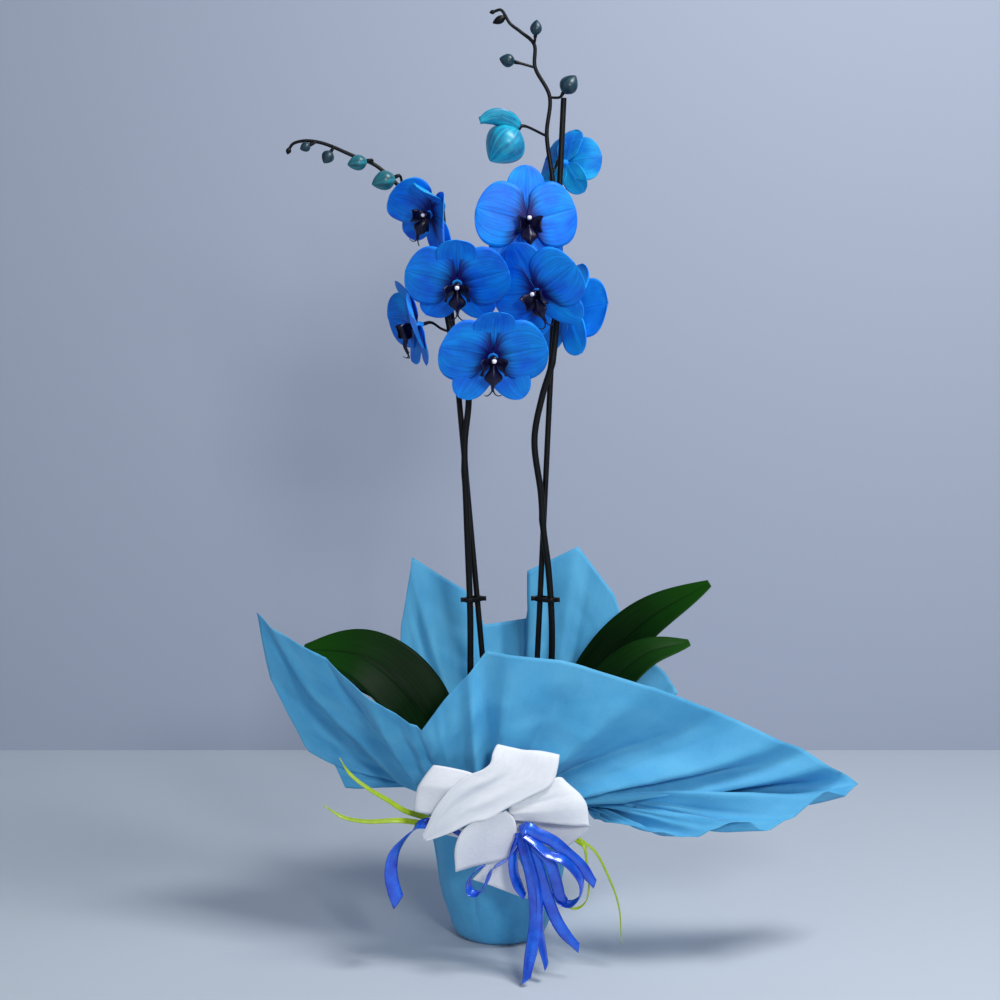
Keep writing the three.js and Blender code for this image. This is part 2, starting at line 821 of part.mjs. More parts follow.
/** Foot of the wrap: rings of corners up the outside and down the inside, closed by two middle points. */
function wrapCup() {
  const corners = PLEATS * 3;
  const outer = CUP_RINGS.map((ring) => ({ ...ring }));
  const inner = CUP_RINGS.map((ring) => ({ ...ring, radius: ring.radius - ring.wall })).reverse();
  inner[inner.length - 1].z = SHEET;
  const vertices = [];
  for (const { z, radius, pleat } of [...outer, ...inner]) {
    for (let k = 0; k < corners; k++) {
      const angle = (2 * Math.PI * k) / corners;
      const r = radius + pleat * Math.cos(PLEATS * angle);
      vertices.push(new THREE.Vector3(r * Math.cos(angle), r * Math.sin(angle), z));
    }
  }
  const under = vertices.push(new THREE.Vector3(0, 0, 0)) - 1;
  const inside = vertices.push(new THREE.Vector3(0, 0, SHEET)) - 1;
  const rings = outer.length + inner.length;
  const triangles = [];
  for (let k = 0; k < corners; k++) {
    const next = (k + 1) % corners;
    triangles.push([under, next, k]);
    for (let i = 0; i < rings - 1; i++) {
      const a = i * corners;
      const b = a + corners;
      triangles.push([a + k, a + next, b + next], [a + k, b + next, b + k]);
    }
    triangles.push([inside, (rings - 1) * corners + k, (rings - 1) * corners + next]);
  }
  return bodyOf(vertices, triangles);
}

// Each fold of the skirt: its direction at the waist in degrees, where it ends, and how far it sags
const FOLDS = [
  { angle: -112, end: [-46, -80, 229], sag: 2 },
  { angle: -97, end: [-11, -78, 270], sag: 3 },
  { angle: -84, end: [50, -85, 263], sag: 6 },
  { angle: -74, end: [127, -80, 240], sag: 10 },
  { angle: -66, end: [198, -66, 207], sag: 14 },
  { angle: -59, end: [256, -52, 180], sag: 16 },
  { angle: -53, end: [308, -40, 146], sag: 12 },
  { angle: -47, end: [276, -70, 146], sag: 6 },
  { angle: -41, end: [225, -95, 122], sag: 4 },
  { angle: -36, end: [196, -97, 129], sag: 2 },
  { angle: -30, end: [164, -100, 117], sag: 4 },
  { angle: -22, end: [122, -95, 121], sag: 2 },
  { angle: -13, end: [84, -62, 124], sag: 0 },
  { angle: 0, end: [88, -6, 138], sag: 0 },
  { angle: 9, end: [128, 20, 168], sag: 3 },
  { angle: 18, end: [162, 50, 204], sag: 6 },
  { angle: 27, end: [150, 60, 222], sag: 4 },
  { angle: 36, end: [120, 68, 245], sag: 3 },
  { angle: 46, end: [105, 80, 290], sag: 4 },
  { angle: 57, end: [72, 90, 333], sag: 4 },
  { angle: 69, end: [25, 92, 310], sag: 2 },
  { angle: 80, end: [24, 100, 264], sag: 4 },
  { angle: 91, end: [-15, 100, 258], sag: 4 },
  { angle: 103, end: [-33, 95, 292], sag: 2 },
  { angle: 116, end: [-81, 90, 323], sag: 4 },
  { angle: 129, end: [-90, 76, 262], sag: 6 },
  { angle: 140, end: [-88, 26, 131], sag: 2 },
  { angle: 150, end: [-138, 14, 127], sag: 3 },
  { angle: 160, end: [-147, 14, 148], sag: 4 },
  { angle: 168, end: [-173, 10, 166], sag: 6 },
  { angle: 176, end: [-202, 2, 228], sag: 10 },
  { angle: 184, end: [-210, -10, 290], sag: 16 },
  { angle: 193, end: [-170, -30, 265], sag: 12 },
  { angle: 204, end: [-139, -45, 245], sag: 8 },
  { angle: 217, end: [-95, -62, 218], sag: 4 },
  { angle: 232, end: [-66, -76, 201], sag: 2 },
];
const FOLD_ROWS = 5;

/** A fold's middle line: out of the gathered waist, then over to its end. */
function foldCurve({ angle, end, sag }) {
  const outward = new THREE.Vector3(Math.cos(radians(angle)), Math.sin(radians(angle)), 0);
  const waist = outward.clone().multiplyScalar(WAIST.radius).setZ(WAIST.z);
  const tip = vec(end);
  const span = tip.distanceTo(waist);
  const leave = waist.clone().addScaledVector(outward, span * 0.1);
  leave.z += span * 0.2 + 4;
  const arrive = tip.clone().lerp(waist, 0.42).addScaledVector(outward, sag * 0.7);
  arrive.z -= sag;
  return new THREE.CubicBezierCurve3(waist, leave, arrive, tip);
}

/** Skirt of the wrap: a closed ring of folds with both faces triangulated alike. */
function wrapSkirt() {
  const count = FOLDS.length;
  const curves = FOLDS.map(foldCurve);
  const middle = [];
  for (let i = 0; i <= FOLD_ROWS; i++) {
    curves.forEach((curve) => middle.push(curve.getPoint(Math.pow(i / FOLD_ROWS, 1.15))));
  }
  const at = (i, k) => i * count + ((k + count) % count);
  const faces = [[], []];
  for (let i = 0; i <= FOLD_ROWS; i++) {
    for (let k = 0; k < count; k++) {
      const around = middle[at(i, k + 1)].clone().sub(middle[at(i, k - 1)]);
      const up = middle[at(Math.min(i + 1, FOLD_ROWS), k)].clone().sub(middle[at(Math.max(i - 1, 0), k)]);
      const offset = around.cross(up).normalize().multiplyScalar(SHEET / 2);
      faces[0].push(middle[at(i, k)].clone().add(offset));
      faces[1].push(middle[at(i, k)].clone().sub(offset));
    }
  }
  const size = middle.length;
  const triangles = [];
  for (let k = 0; k < count; k++) {
    for (let i = 0; i < FOLD_ROWS; i++) {
      const [a, b, c, d] = [at(i, k), at(i, k + 1), at(i + 1, k + 1), at(i + 1, k)];
      triangles.push([a, b, c], [a, c, d], [a + size, c + size, b + size], [a + size, d + size, c + size]);
    }
    const [foot, footNext] = [at(0, k), at(0, k + 1)];
    const [rim, rimNext] = [at(FOLD_ROWS, k), at(FOLD_ROWS, k + 1)];
    triangles.push([foot, foot + size, footNext + size], [foot, footNext + size, footNext]);
    triangles.push([rim, rimNext, rimNext + size], [rim, rimNext + size, rim + size]);
  }
  return bodyOf([...faces[0], ...faces[1]], triangles);
}

addNode("wrap", fuse([wrapCup(), wrapSkirt()]), "wrap");

// Tie, bow, ribbons and grass

const TIE = { bottom: 103, top: 111, inner: 64.4, wall: 1.2 };

addNode(
  "tie_band",
  turned(
    [
      [TIE.inner, TIE.bottom],
      [TIE.inner + TIE.wall, TIE.bottom],
      [TIE.inner + TIE.wall, TIE.top],
      [TIE.inner, TIE.top],
      [TIE.inner, TIE.bottom],
    ],
    24,
  ),
  "bow",
);

// The bow's edges, from its knot outwards or from end to end: a loop comes back behind itself
const BOW = {
  knot: [-4, -94, 139],
  knotRadius: 11.5,
  strap: [[-2, -66.5, 108], [-3, -74, 114], [-4, -86, 132]],
  strapWidth: 20,
};
const BOW_SASH = [
  [
    [-65, -97, 117],
    [-60, -99, 128],
    [-54, -101, 142],
    [-42, -103, 158],
    [-28, -104, 170],
    [-14, -104, 176],
    [-8, -103, 181],
    [-6, -101, 189],
    [-2, -96, 195],
    [2, -88, 186],
    [0, -85, 166],
    [-8, -87, 148],
  ],
  [
    [-62, -97, 113],
    [-51, -99, 117],
    [-38, -102, 123],
    [-23, -104, 131],
    [-10, -105, 134],
    [5, -105, 143],
    [25, -104, 153],
    [43, -102, 163],
    [49, -96, 186],
    [46, -88, 175],
    [29, -85, 156],
    [8, -87, 143],
  ],
];
const BOW_LEFT = [
  [[-3, -96, 147], [-10, -97, 162], [-22, -95, 170], [-37, -94, 174], [-55, -91, 176], [-52, -84, 171],
    [-33, -82, 163], [-13, -84, 153], [-3, -88, 144]],
  [[-5, -96, 140], [-16, -98, 148], [-37, -98, 154], [-54, -97, 157], [-69, -92, 157], [-66, -84, 153],
    [-42, -82, 148], [-17, -84, 143], [-5, -88, 138]],
  [[-6, -96, 134], [-22, -97, 133], [-41, -95, 135], [-57, -94, 135], [-71, -91, 137], [-68, -84, 137],
    [-46, -82, 134], [-21, -84, 132], [-6, -88, 132]],
];
const BOW_RIGHT = [
  [[7, -99, 149], [29, -100, 158], [47, -99, 168], [52, -95, 166], [52, -89, 159],
    [33, -86, 148], [7, -88, 140]],
  [[7, -101, 141], [33, -103, 145], [59, -101, 150], [69, -95, 147], [62, -89, 141],
    [38, -86, 135], [7, -88, 134]],
  [[7, -99, 132], [33, -100, 130], [62, -99, 127], [74, -95, 125], [65, -89, 113],
    [50, -86, 103], [12, -88, 120]],
];
const BOW_TAILS = [
  [
    [[-15, -103, 136], [-30, -102, 125], [-37, -101, 110], [-37, -98, 87]],
    [[5, -103, 141], [12, -102, 133], [14, -101, 119], [13, -98, 101]],
  ],
  [
    [[-6, -92, 134], [-5, -91, 108], [-13, -91, 90], [-23, -90, 78]],
    [[7, -92, 134], [10, -91, 108], [19, -91, 88], [24, -90, 61]],
  ],
];

/** A sash that crosses the knot and folds over at its top, two side loops, two tails, and the strap. */
function bow() {
  const knot = new THREE.SphereGeometry(BOW.knotRadius, 7, 5).scale(1.3, 1.05, 1).translate(...BOW.knot);
  const strap = strip(BOW.strap, [[1, 0, 0]], BOW.strapWidth, 3, 1.4);
  const tails = BOW_TAILS.map((rails) => loft(rails, 3, 1));
  return fuse([knot, strap, loft(BOW_SASH, 14, 2), loft(BOW_LEFT, 9, 2), loft(BOW_RIGHT, 9, 2), ...tails]);
}

addNode("bow", bow(), "bow");

const RIBBON = { width: 9, thickness: 0.8 };
const RIBBON_KNOT = { size: [8, 18.9, 10], place: [18.4, -99.6, 123] };
const RIBBON_STRANDS = [
  {
    path: [[17, -107, 124], [20, -110, 110], [25, -112, 92], [28, -113, 73], [29, -116, 52],
      [26, -121, 30], [21, -129, 2]],
    side: [1, 0, 0],
  },
  {
    path: [[21, -106, 121], [28, -109, 99], [33, -111, 76], [34, -114, 40], [39, -119, 11]],
    side: [1, 1.2, 0],
  },
  {
    path: [[20, -107, 121], [31, -109, 95], [40, -110, 66], [50, -111, 44], [67, -113, 25]],
    side: [1, 0, 0.5],
  },
  {
    path: [[16, -107, 125], [22, -109, 128], [31, -109, 123], [44, -107, 116], [55, -106, 106],
      [67, -104, 94], [80, -101, 76]],
    side: [0.6, 0.2, 1],
  },
  {
    path: [[20, -108, 123], [30, -111, 117], [40, -113, 108], [52, -114, 103], [62, -113, 93],
      [68, -111, 82], [67, -108, 69], [59, -106, 62], [49, -105, 65], [44, -106, 74]],
    side: [0.5, 1, 0.5],
  },
  {
    path: [[20, -106, 120], [33, -108, 109], [41, -108, 99], [46, -108, 84], [50, -107, 70],
      [56, -104, 62]],
    side: [1, 0.3, 0.4],
  },
  {
    path: [[17, -106, 120], [13, -108, 110], [7, -110, 102], [-6, -112, 94], [-11, -112, 82],
      [-17, -110, 72], [-25, -108, 73], [-26, -107, 83], [-19, -106, 92], [-12, -105, 96]],
    side: [0.6, 1, 0.3],
  },
  { path: [[17, -105, 120], [11, -107, 99], [14, -108, 83], [21, -110, 69]], side: [1, 0.8, 0] },
];
const LEFT_RIBBON = {
  path: [[-34, -58.4, 107], [-46, -73, 119], [-57, -87, 126], [-67, -93, 125], [-77, -97, 117],
    [-87, -99, 103], [-90, -99, 86], [-88, -98, 72], [-83, -97, 57]],
  sides: [[0, 0.3, 1], [0.6, 0.8, 0.3], [1, 0.3, 0]],
  width: 12,
};

const ribbonSteps = (path) => path.length - 1;

function blueRibbons() {
  const knot = new THREE.BoxGeometry(...RIBBON_KNOT.size).translate(...RIBBON_KNOT.place);
  const strands = RIBBON_STRANDS.map(({ path, side }) =>
    strip(path, [side], RIBBON.width, ribbonSteps(path), RIBBON.thickness),
  );
  return fuse([knot, ...strands]);
}

function leftRibbon({ path, sides, width }) {
  return strip(path, sides, (u) => width * Math.min(1, 0.4 + u), ribbonSteps(path), RIBBON.thickness);
}

addNode("blue_ribbons", blueRibbons(), "ribbon");
addNode("blue_ribbon_left", leftRibbon(LEFT_RIBBON), "ribbon");

// Blades of grass tucked in behind the bow

const GRASS = { width: 6, thickness: 0.8, foot: [3, 3, 5] };
const GRASS_BLADES = {
  grass_left: [
    {
      path: [[-42.8, -52.3, 108], [-62, -68, 124], [-80, -80, 134], [-94, -86, 145], [-111, -90, 157],
        [-125, -90, 169], [-133, -90, 182]],
      side: [0.2, 0.5, 0.8],
    },
    {
      path: [[-42.8, -52.3, 108], [-62, -70, 119], [-83, -88, 128], [-111, -94, 129], [-130, -95, 133],
        [-146, -95, 143]],
      side: [0, 0.4, 0.9],
    },
  ],
  grass_right: [
    {
      path: [[42.8, -52.3, 108], [56, -66, 111], [66, -80, 108], [71, -86, 105], [73, -88, 91],
        [75, -90, 73], [71, -92, 58], [63, -94, 54], [49, -96, 60]],
      side: [0.3, 0.8, 0.3],
    },
    {
      path: [[42.8, -52.3, 108], [57, -67, 113], [68, -78, 109], [80, -82, 100], [91, -86, 80],
        [100, -88, 54], [102, -90, 22]],
      side: [0.3, 1, 0],
    },
  ],
};

function grassSpray(blades) {
  const foot = new THREE.BoxGeometry(...GRASS.foot).translate(...blades[0].path[0]);
  return fuse([
    foot,
    ...blades.map(({ path, side }) =>
      strip(path, [side], (u) => GRASS.width * (1 - 0.6 * u), 8, GRASS.thickness),
    ),
  ]);
}

for (const [name, blades] of Object.entries(GRASS_BLADES)) addNode(name, grassSpray(blades), "grass");

export default scene;
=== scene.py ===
"""Dresses the model of a dyed blue moth orchid in its wrapped and tied pot.

Sizes are in millimetres while a piece is shaped and metres in its mesh. +Z is up and the front faces -Y.
"""

from __future__ import annotations

import logging
import math
import random
from dataclasses import dataclass, field
from enum import Enum
from typing import Callable, Sequence

import bpy
from mathutils import Matrix, Quaternion, Vector, noise


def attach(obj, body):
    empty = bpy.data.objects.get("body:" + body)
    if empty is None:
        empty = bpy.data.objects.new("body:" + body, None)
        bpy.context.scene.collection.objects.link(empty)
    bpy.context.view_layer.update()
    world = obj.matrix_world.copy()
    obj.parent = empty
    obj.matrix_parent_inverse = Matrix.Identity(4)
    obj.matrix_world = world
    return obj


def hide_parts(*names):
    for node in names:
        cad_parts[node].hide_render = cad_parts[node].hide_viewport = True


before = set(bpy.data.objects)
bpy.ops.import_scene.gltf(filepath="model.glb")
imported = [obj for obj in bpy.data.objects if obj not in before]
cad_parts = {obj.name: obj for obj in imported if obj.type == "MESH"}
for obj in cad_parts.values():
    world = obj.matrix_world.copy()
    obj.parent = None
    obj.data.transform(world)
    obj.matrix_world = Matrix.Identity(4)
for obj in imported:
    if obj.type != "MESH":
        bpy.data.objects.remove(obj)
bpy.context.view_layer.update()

LOG = logging.getLogger("orchid")
MM = 0.001
BODY = "root"
UP = Vector((0.0, 0.0, 1.0))
# The small step in which directions along a surface or a path are measured, as a share
NEAR = 0.004
Triple = tuple[float, float, float]
Colour = tuple[float, float, float, float]
Shape = Callable[[float, float], Vector]
Feed = bpy.types.NodeSocket | float | Colour


# Helpers for numbers and curves


def mix(low: float, high: float, share: float) -> float:
    """The value between low and high at share."""
    return low + (high - low) * share


def ease(low: float, high: float, value: float) -> float:
    """0 below low, 1 above high and a smooth step between."""
    share = min(1.0, max(0.0, (value - low) / (high - low)))
    return share * share * (3.0 - 2.0 * share)


def linear(*channels: float) -> Colour:
    """Red, green and blue from 0 to 255 as the shader's linear colour."""
    shares = [channel / 255.0 for channel in channels]
    return (*(c / 12.92 if c <= 0.04045 else ((c + 0.055) / 1.055) ** 2.4 for c in shares), 1.0)


def roughened(place: Vector, size: float, seed: float = 0.0) -> float:
    """Smooth noise from -1 to 1 whose lumps are about size across."""
    return noise.noise(Vector(place) / size + Vector((seed, seed * 0.7, -seed)))


class Path:
    """A smooth curve through points, in millimetres, that is read by its length or by its points."""

    def __init__(self, points: Sequence[Triple], samples: int = 320) -> None:
        """Samples the curve.

        Args:
            points: what the curve runs through.
            samples: how many steps its length is measured in.
        """
        self.points = [Vector(p) for p in points]
        self.dense = [self.spot(i / samples) for i in range(samples + 1)]
        self.reach = [0.0]
        for a, b in zip(self.dense, self.dense[1:]):
            self.reach.append(self.reach[-1] + (b - a).length)

    @property
    def length(self) -> float:
        """The curve's length."""
        return self.reach[-1]

    def spot(self, t: float) -> Vector:
        """The place at t, where each control point is one equal step.

        Args:
            t: 0 at the first point and 1 at the last.

        Returns:
            The place on the curve.
        """
        pts = self.points
        last = len(pts) - 1
        place = min(max(t, 0.0), 1.0) * last
        i = min(int(place), last - 1)
        w = place - i
        p1, p2 = pts[i], pts[i + 1]
        p0 = pts[i - 1] if i > 0 else p1 * 2 - p2
        p3 = pts[i + 2] if i + 2 <= last else p2 * 2 - p1
        d0, d1, d2 = (math.sqrt((b - a).length) for a, b in ((p0, p1), (p1, p2), (p2, p3)))
        d1 = d1 or 1.0
        d0, d2 = d0 or d1, d2 or d1
        t1 = ((p1 - p0) / d0 - (p2 - p0) / (d0 + d1) + (p2 - p1) / d1) * d1
        t2 = ((p2 - p1) / d1 - (p3 - p1) / (d1 + d2) + (p3 - p2) / d2) * d1
        w2, w3 = w * w, w * w * w
        return p1 * (2 * w3 - 3 * w2 + 1) + t1 * (w3 - 2 * w2 + w) + p2 * (3 * w2 - 2 * w3) + t2 * (w3 - w2)

    def at(self, u: float) -> Vector:
        """The place at a share of the curve's length.

        Args:
            u: the share, from 0 to 1.

        Returns:
            The place on the curve.
        """
        goal = min(max(u, 0.0), 1.0) * self.length
        low, high = 0, len(self.reach) - 1
        while high - low > 1:
            middle = (low + high) // 2
            if self.reach[middle] <= goal:
                low = middle
            else:
                high = middle
        span = self.reach[high] - self.reach[low] or 1.0
        return self.dense[low].lerp(self.dense[high], (goal - self.reach[low]) / span)

    def heading(self, u: float) -> Vector:
        """The curve's direction at share u of its length."""
        return (self.at(u + NEAR) - self.at(u - NEAR)).normalized()


# Helpers for meshes


def deselect() -> None:
    """Leaves nothing selected, so that an operator acts only on what is chosen next."""
    if bpy.context.object and bpy.context.object.mode != "OBJECT":
        bpy.ops.object.mode_set(mode="OBJECT")
    bpy.ops.object.select_all(action="DESELECT")


def pick(piece: bpy.types.Object) -> None:
    """Makes a piece the only selected and active one.

    Args:
        piece: what the next operator acts on.
    """
    deselect()
    piece.select_set(True)
    bpy.context.view_layer.objects.active = piece


def apply_all(piece: bpy.types.Object) -> bpy.types.Object:
    """Applies every modifier of a piece.

    Args:
        piece: the piece.

    Returns:
        The same piece.
    """
    pick(piece)
    for modifier in list(piece.modifiers):
        bpy.ops.object.modifier_apply(modifier=modifier.name)
    return piece


def shaped_grid(name: str, point: Shape, rows: int, columns: int, ring: bool = False) -> bpy.types.Object:
    """A grid primitive whose corners are moved to a surface.

    Args:
        name: the piece's name.
        point: the place in millimetres at (along, across), each from 0 to 1.
        rows: faces along.
        columns: faces across.
        ring: True where the two long sides meet or rows shrink to a point, so that they are merged.

    Returns:
        The grid, with its UV map as across and along.
    """
    deselect()
    bpy.ops.mesh.primitive_grid_add(x_subdivisions=columns, y_subdivisions=rows, size=1.0)
    piece = bpy.context.object
    piece.name = name
    for vertex in piece.data.vertices:
        vertex.co = point(vertex.co.y + 0.5, vertex.co.x + 0.5) * MM
    if ring:
        pick(piece)
        bpy.ops.object.mode_set(mode="EDIT")
        bpy.ops.mesh.select_all(action="SELECT")
        bpy.ops.mesh.remove_doubles(threshold=2e-6)
        bpy.ops.mesh.normals_make_consistent(inside=False)
        bpy.ops.object.mode_set(mode="OBJECT")
    return piece


def raised(surface: Shape, relief: Callable[[float, float], float]) -> Shape:
    """A surface moved along its own normal.

    Args:
        surface: the place in millimetres at (along, across).
        relief: how far it is moved there, in millimetres.

    Returns:
        The new surface.
    """

    def point(u: float, v: float) -> Vector:
        """The moved place at (along, across).

        Args:
            u: the share along it.
            v: the share across it.

        Returns:
            The place in millimetres.
        """
        along = surface(min(1.0, u + NEAR), v) - surface(max(0.0, u - NEAR), v)
        across = surface(u, min(1.0, v + NEAR)) - surface(u, max(0.0, v - NEAR))
        return surface(u, v) + along.cross(across).normalized() * relief(u, v)

    return point


def lofted(rails: Sequence[Sequence[Triple]]) -> Shape:
    """A surface through rails of as many points each: along them and from one to the next."""
    paths = [Path(rail, 2) for rail in rails]
    return lambda u, v: Path([path.spot(u) for path in paths], 2).spot(v)


def thicken(piece: bpy.types.Object, thickness: float, back_slot: int = 0) -> bpy.types.Object:
    """Gives a surface its wall.

    Args:
        piece: an open surface.
        thickness: the wall in millimetres, half on each side.
        back_slot: how many material slots later the back's material is.

    Returns:
        The same piece, now a closed shell.
    """
    wall = piece.modifiers.new("wall", "SOLIDIFY")
    wall.thickness = thickness * MM
    wall.offset = 0.0
    wall.material_offset = back_slot
    return apply_all(piece)


def joined(name: str, pieces: Sequence[bpy.types.Object]) -> bpy.types.Object:
    """Joins pieces into one.

    Args:
        name: the name of the result.
        pieces: what is joined; the first one takes the others in.

    Returns:
        The joined piece.
    """
    deselect()
    for piece in pieces:
        piece.select_set(True)
    bpy.context.view_layer.objects.active = pieces[0]
    if len(pieces) > 1:
        bpy.ops.object.join()
    pieces[0].name = name
    return pieces[0]


def strip(
    name: str,
    path: Path,
    sides: Sequence[Triple],
    width: Callable[[float], float],
    rows: int,
    columns: int,
    relief: Callable[[float, float], float] | None = None,
    cut: float = 0.0,
) -> bpy.types.Object:
    """A band along a path.

    Args:
        name: the piece's name.
        path: its middle line.
        sides: directions of its width, shared out along it.
        width: its breadth in millimetres at a share of its length.
        rows: faces along it.
        columns: faces across it.
        relief: how far it stands off its middle surface at (along, across), in millimetres.
        cut: how much shorter one edge is, as a share of the length.

    Returns:
        The open surface.
    """
    spread = [Vector(side).normalized() for side in sides]

    def point(u: float, v: float) -> Vector:
        """The band at (along, across).

        Args:
            u: the share along it.
            v: the share across it.

        Returns:
            The place in millimetres.
        """
        place = u * (len(spread) - 1)
        index = max(0, min(int(place), len(spread) - 2))
        side = spread[index].lerp(spread[min(index + 1, len(spread) - 1)], place - index)
        reach = u * (1 - cut * v)
        way = path.heading(reach)
        side = (side - way * side.dot(way)).normalized()
        spot = path.at(reach) + side * ((v - 0.5) * width(u))
        return spot + side.cross(way) * relief(u, v) if relief else spot

    return shaped_grid(name, point, rows, columns)


def rod(
    name: str,
    path: Path,
    radius: Callable[[float], float],
    rings: int,
    sides: int = 12,
    by_points: bool = False,
) -> bpy.types.Object:
    """A round closed rod along a path with flat ends.

    Args:
        name: the piece's name.
        path: its middle line.
        radius: its radius in millimetres at a share of the way.
        rings: faces along it.
        sides: faces round it.
        by_points: True reads the path by its points and not by its length.

    Returns:
        The closed rod.
    """
    read = path.spot if by_points else path.at
    normal = Vector((0.31, 0.9, 0.3))
    step = 0.002
    frames = []
    for i in range(rings + 1):
        u = min(1.0, max(0.0, (i - 1) / (rings - 2)))
        way = (read(u + step) - read(u - step)).normalized()
        normal = (normal - way * normal.dot(way)).normalized()
        reach = 0.0 if i in (0, rings) else radius(u)
        frames.append((read(u), normal * reach, way.cross(normal) * reach))

    def point(u: float, v: float) -> Vector:
        """The rod's side; its first and last rings close the ends.

        Args:
            u: the share along it.
            v: the share of a turn.

        Returns:
            The place in millimetres.
        """
        centre, first, second = frames[round(u * rings)]
        turn = 2.0 * math.pi * v
        return centre + first * math.cos(turn) + second * math.sin(turn)

    return shaped_grid(name, point, rings, sides, ring=True)


def turned(name: str, profile: Sequence[tuple[float, float]], segments: int) -> bpy.types.Object:
    """A profile turned round +Z, its doubles merged and its faces outwards.

    Args:
        name: the piece's name.
        profile: (radius, height) from point to point, in millimetres.
        segments: faces round it.

    Returns:
        The closed piece.
    """

    def point(u: float, v: float) -> Vector:
        """The turned surface at (along the profile, round).

        Args:
            u: the share along the profile.
            v: the share of a turn.

        Returns:
            The place in millimetres.
        """
        radius, height = profile[round(u * (len(profile) - 1))]
        turn = 2.0 * math.pi * v
        return Vector((radius * math.cos(turn), radius * math.sin(turn), height))

    return shaped_grid(name, point, len(profile) - 1, segments, ring=True)


def settle(piece: bpy.types.Object, slot: str, *nodes: str, angle: float | None = None) -> bpy.types.Object:
    """Smooths a finished piece and puts it on the body.

    Args:
        piece: the piece.
        slot: the name of a material slot; not used.
        nodes: the CAD nodes that it stands for.
        angle: edges sharper than this many degrees stay sharp.

    Returns:
        The same piece.
    """
    pick(piece)
    if angle is None:
        bpy.ops.object.shade_smooth()
    else:
        bpy.ops.object.shade_smooth_by_angle(angle=math.radians(angle))
    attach(piece, BODY)
    if nodes:
        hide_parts(*nodes)
    LOG.info("%s: %d faces", piece.name, len(piece.data.polygons))
    return piece


def paint(piece: bpy.types.Object, *materials: bpy.types.Material) -> bpy.types.Object:
    """Replaces a piece's materials.

    Args:
        piece: the piece.
        materials: one for each slot.

    Returns:
        The same piece.
    """
    piece.data.materials.clear()
    for material in materials:
        piece.data.materials.append(material)
    return piece


# Shader node groups


class Effect(Enum):
    """Node groups that several finishes share."""

    MOTTLE = "mottle"
    STREAKS = "streaks"
    FELT = "felt"


class Wiring:
    """Adds nodes to a tree and links them."""

    def __init__(self, tree: bpy.types.NodeTree) -> None:
        """Keeps the tree's nodes and links."""
        self.tree, self.nodes, self.links = tree, tree.nodes, tree.links

    def feed(self, value: Feed, socket: bpy.types.NodeSocket) -> None:
        """Links an output to a socket, or sets the socket to a number or colour.

        Args:
            value: an output, a number or a colour.
            socket: the input that takes it.
        """
        if isinstance(value, bpy.types.NodeSocket):
            self.links.new(value, socket)
        else:
            socket.default_value = value

    def node(self, kind: str, **inputs: Feed) -> bpy.types.Node:
        """Adds a node.

        Args:
            kind: the node's type.
            inputs: what feeds each named input, with _ for a space.

        Returns:
            The node.
        """
        made = self.nodes.new(kind)
        for key, value in inputs.items():
            self.feed(value, made.inputs[key.replace("_", " ")])
        return made

    def math(
        self, operation: str, first: Feed, second: Feed = 0.0, third: Feed = 0.0
    ) -> bpy.types.NodeSocket:
        """Adds a math node.

        Args:
            operation: what it works out.
            first: its first value.
            second: its second value.
            third: its third value.

        Returns:
            Its result.
        """
        made = self.node("ShaderNodeMath")
        made.operation = operation
        for socket, value in zip(made.inputs, (first, second, third)):
            self.feed(value, socket)
        return made.outputs[0]

    def split(self, vector: bpy.types.NodeSocket) -> tuple[bpy.types.NodeSocket, bpy.types.NodeSocket]:
        """The first two parts of a vector."""
        made = self.node("ShaderNodeSeparateXYZ", Vector=vector)
        return made.outputs["X"], made.outputs["Y"]


class Group(Wiring):
    """A shader node group with a vector and some numbers as inputs and one number as output."""

    def __init__(self, effect: Effect, vector: str, output: str, **numbers: float) -> None:
        """Starts the group.

        Args:
            effect: which group it is.
            vector: the name of its vector input.
            output: the name of its output.
            numbers: the defaults of its number inputs.
        """
        super().__init__(bpy.data.node_groups.new(effect.value, "ShaderNodeTree"))
        sockets = self.tree.interface
        sockets.new_socket(name=vector, in_out="INPUT", socket_type="NodeSocketVector")
        for name, default in numbers.items():
            socket = sockets.new_socket(name=name, in_out="INPUT", socket_type="NodeSocketFloat")
            socket.default_value = default
        sockets.new_socket(name=output, in_out="OUTPUT", socket_type="NodeSocketFloat")
        self.entry = self.node("NodeGroupInput").outputs
        self.leave = self.node("NodeGroupOutput").inputs[output]

    def give(self, value: bpy.types.NodeSocket) -> bpy.types.NodeTree:
        """Ends the group with its output."""
        self.links.new(value, self.leave)
        return self.tree


def mottle_group() -> bpy.types.NodeTree:
    """Soft clouds with a finer cloud over them, as one mask.

    Returns:
        The node group.
    """
    group = Group(Effect.MOTTLE, "Vector", "Mask", Scale=40.0, Contrast=1.0)
    entry = group.entry
    cloud = group.node("ShaderNodeTexNoise", Vector=entry["Vector"], Scale=entry["Scale"], Detail=4.0)
    centred = group.math("SUBTRACT", cloud.outputs["Fac"], 0.5)
    mask = group.math("MULTIPLY_ADD", centred, entry["Contrast"], 0.5)
    mask.node.use_clamp = True
    return group.give(mask)


def streaks_group() -> bpy.types.NodeTree:
    """Fine lines along a piece, read from its UV map, that wander a little.

    Returns:
        The node group.
    """
    group = Group(Effect.STREAKS, "UV", "Mask", Lines=12.0, Wander=1.0)
    across, along = group.split(group.entry["UV"])
    across = group.math("MULTIPLY", across, group.entry["Lines"])
    joint = group.node("ShaderNodeCombineXYZ", X=across, Y=group.math("MULTIPLY", along, 1.6))
    lines = group.node("ShaderNodeTexNoise", Vector=joint.outputs[0], Scale=1.0, Detail=3.0)
    group.links.new(group.entry["Wander"], lines.inputs["Distortion"])
    return group.give(lines.outputs["Fac"])


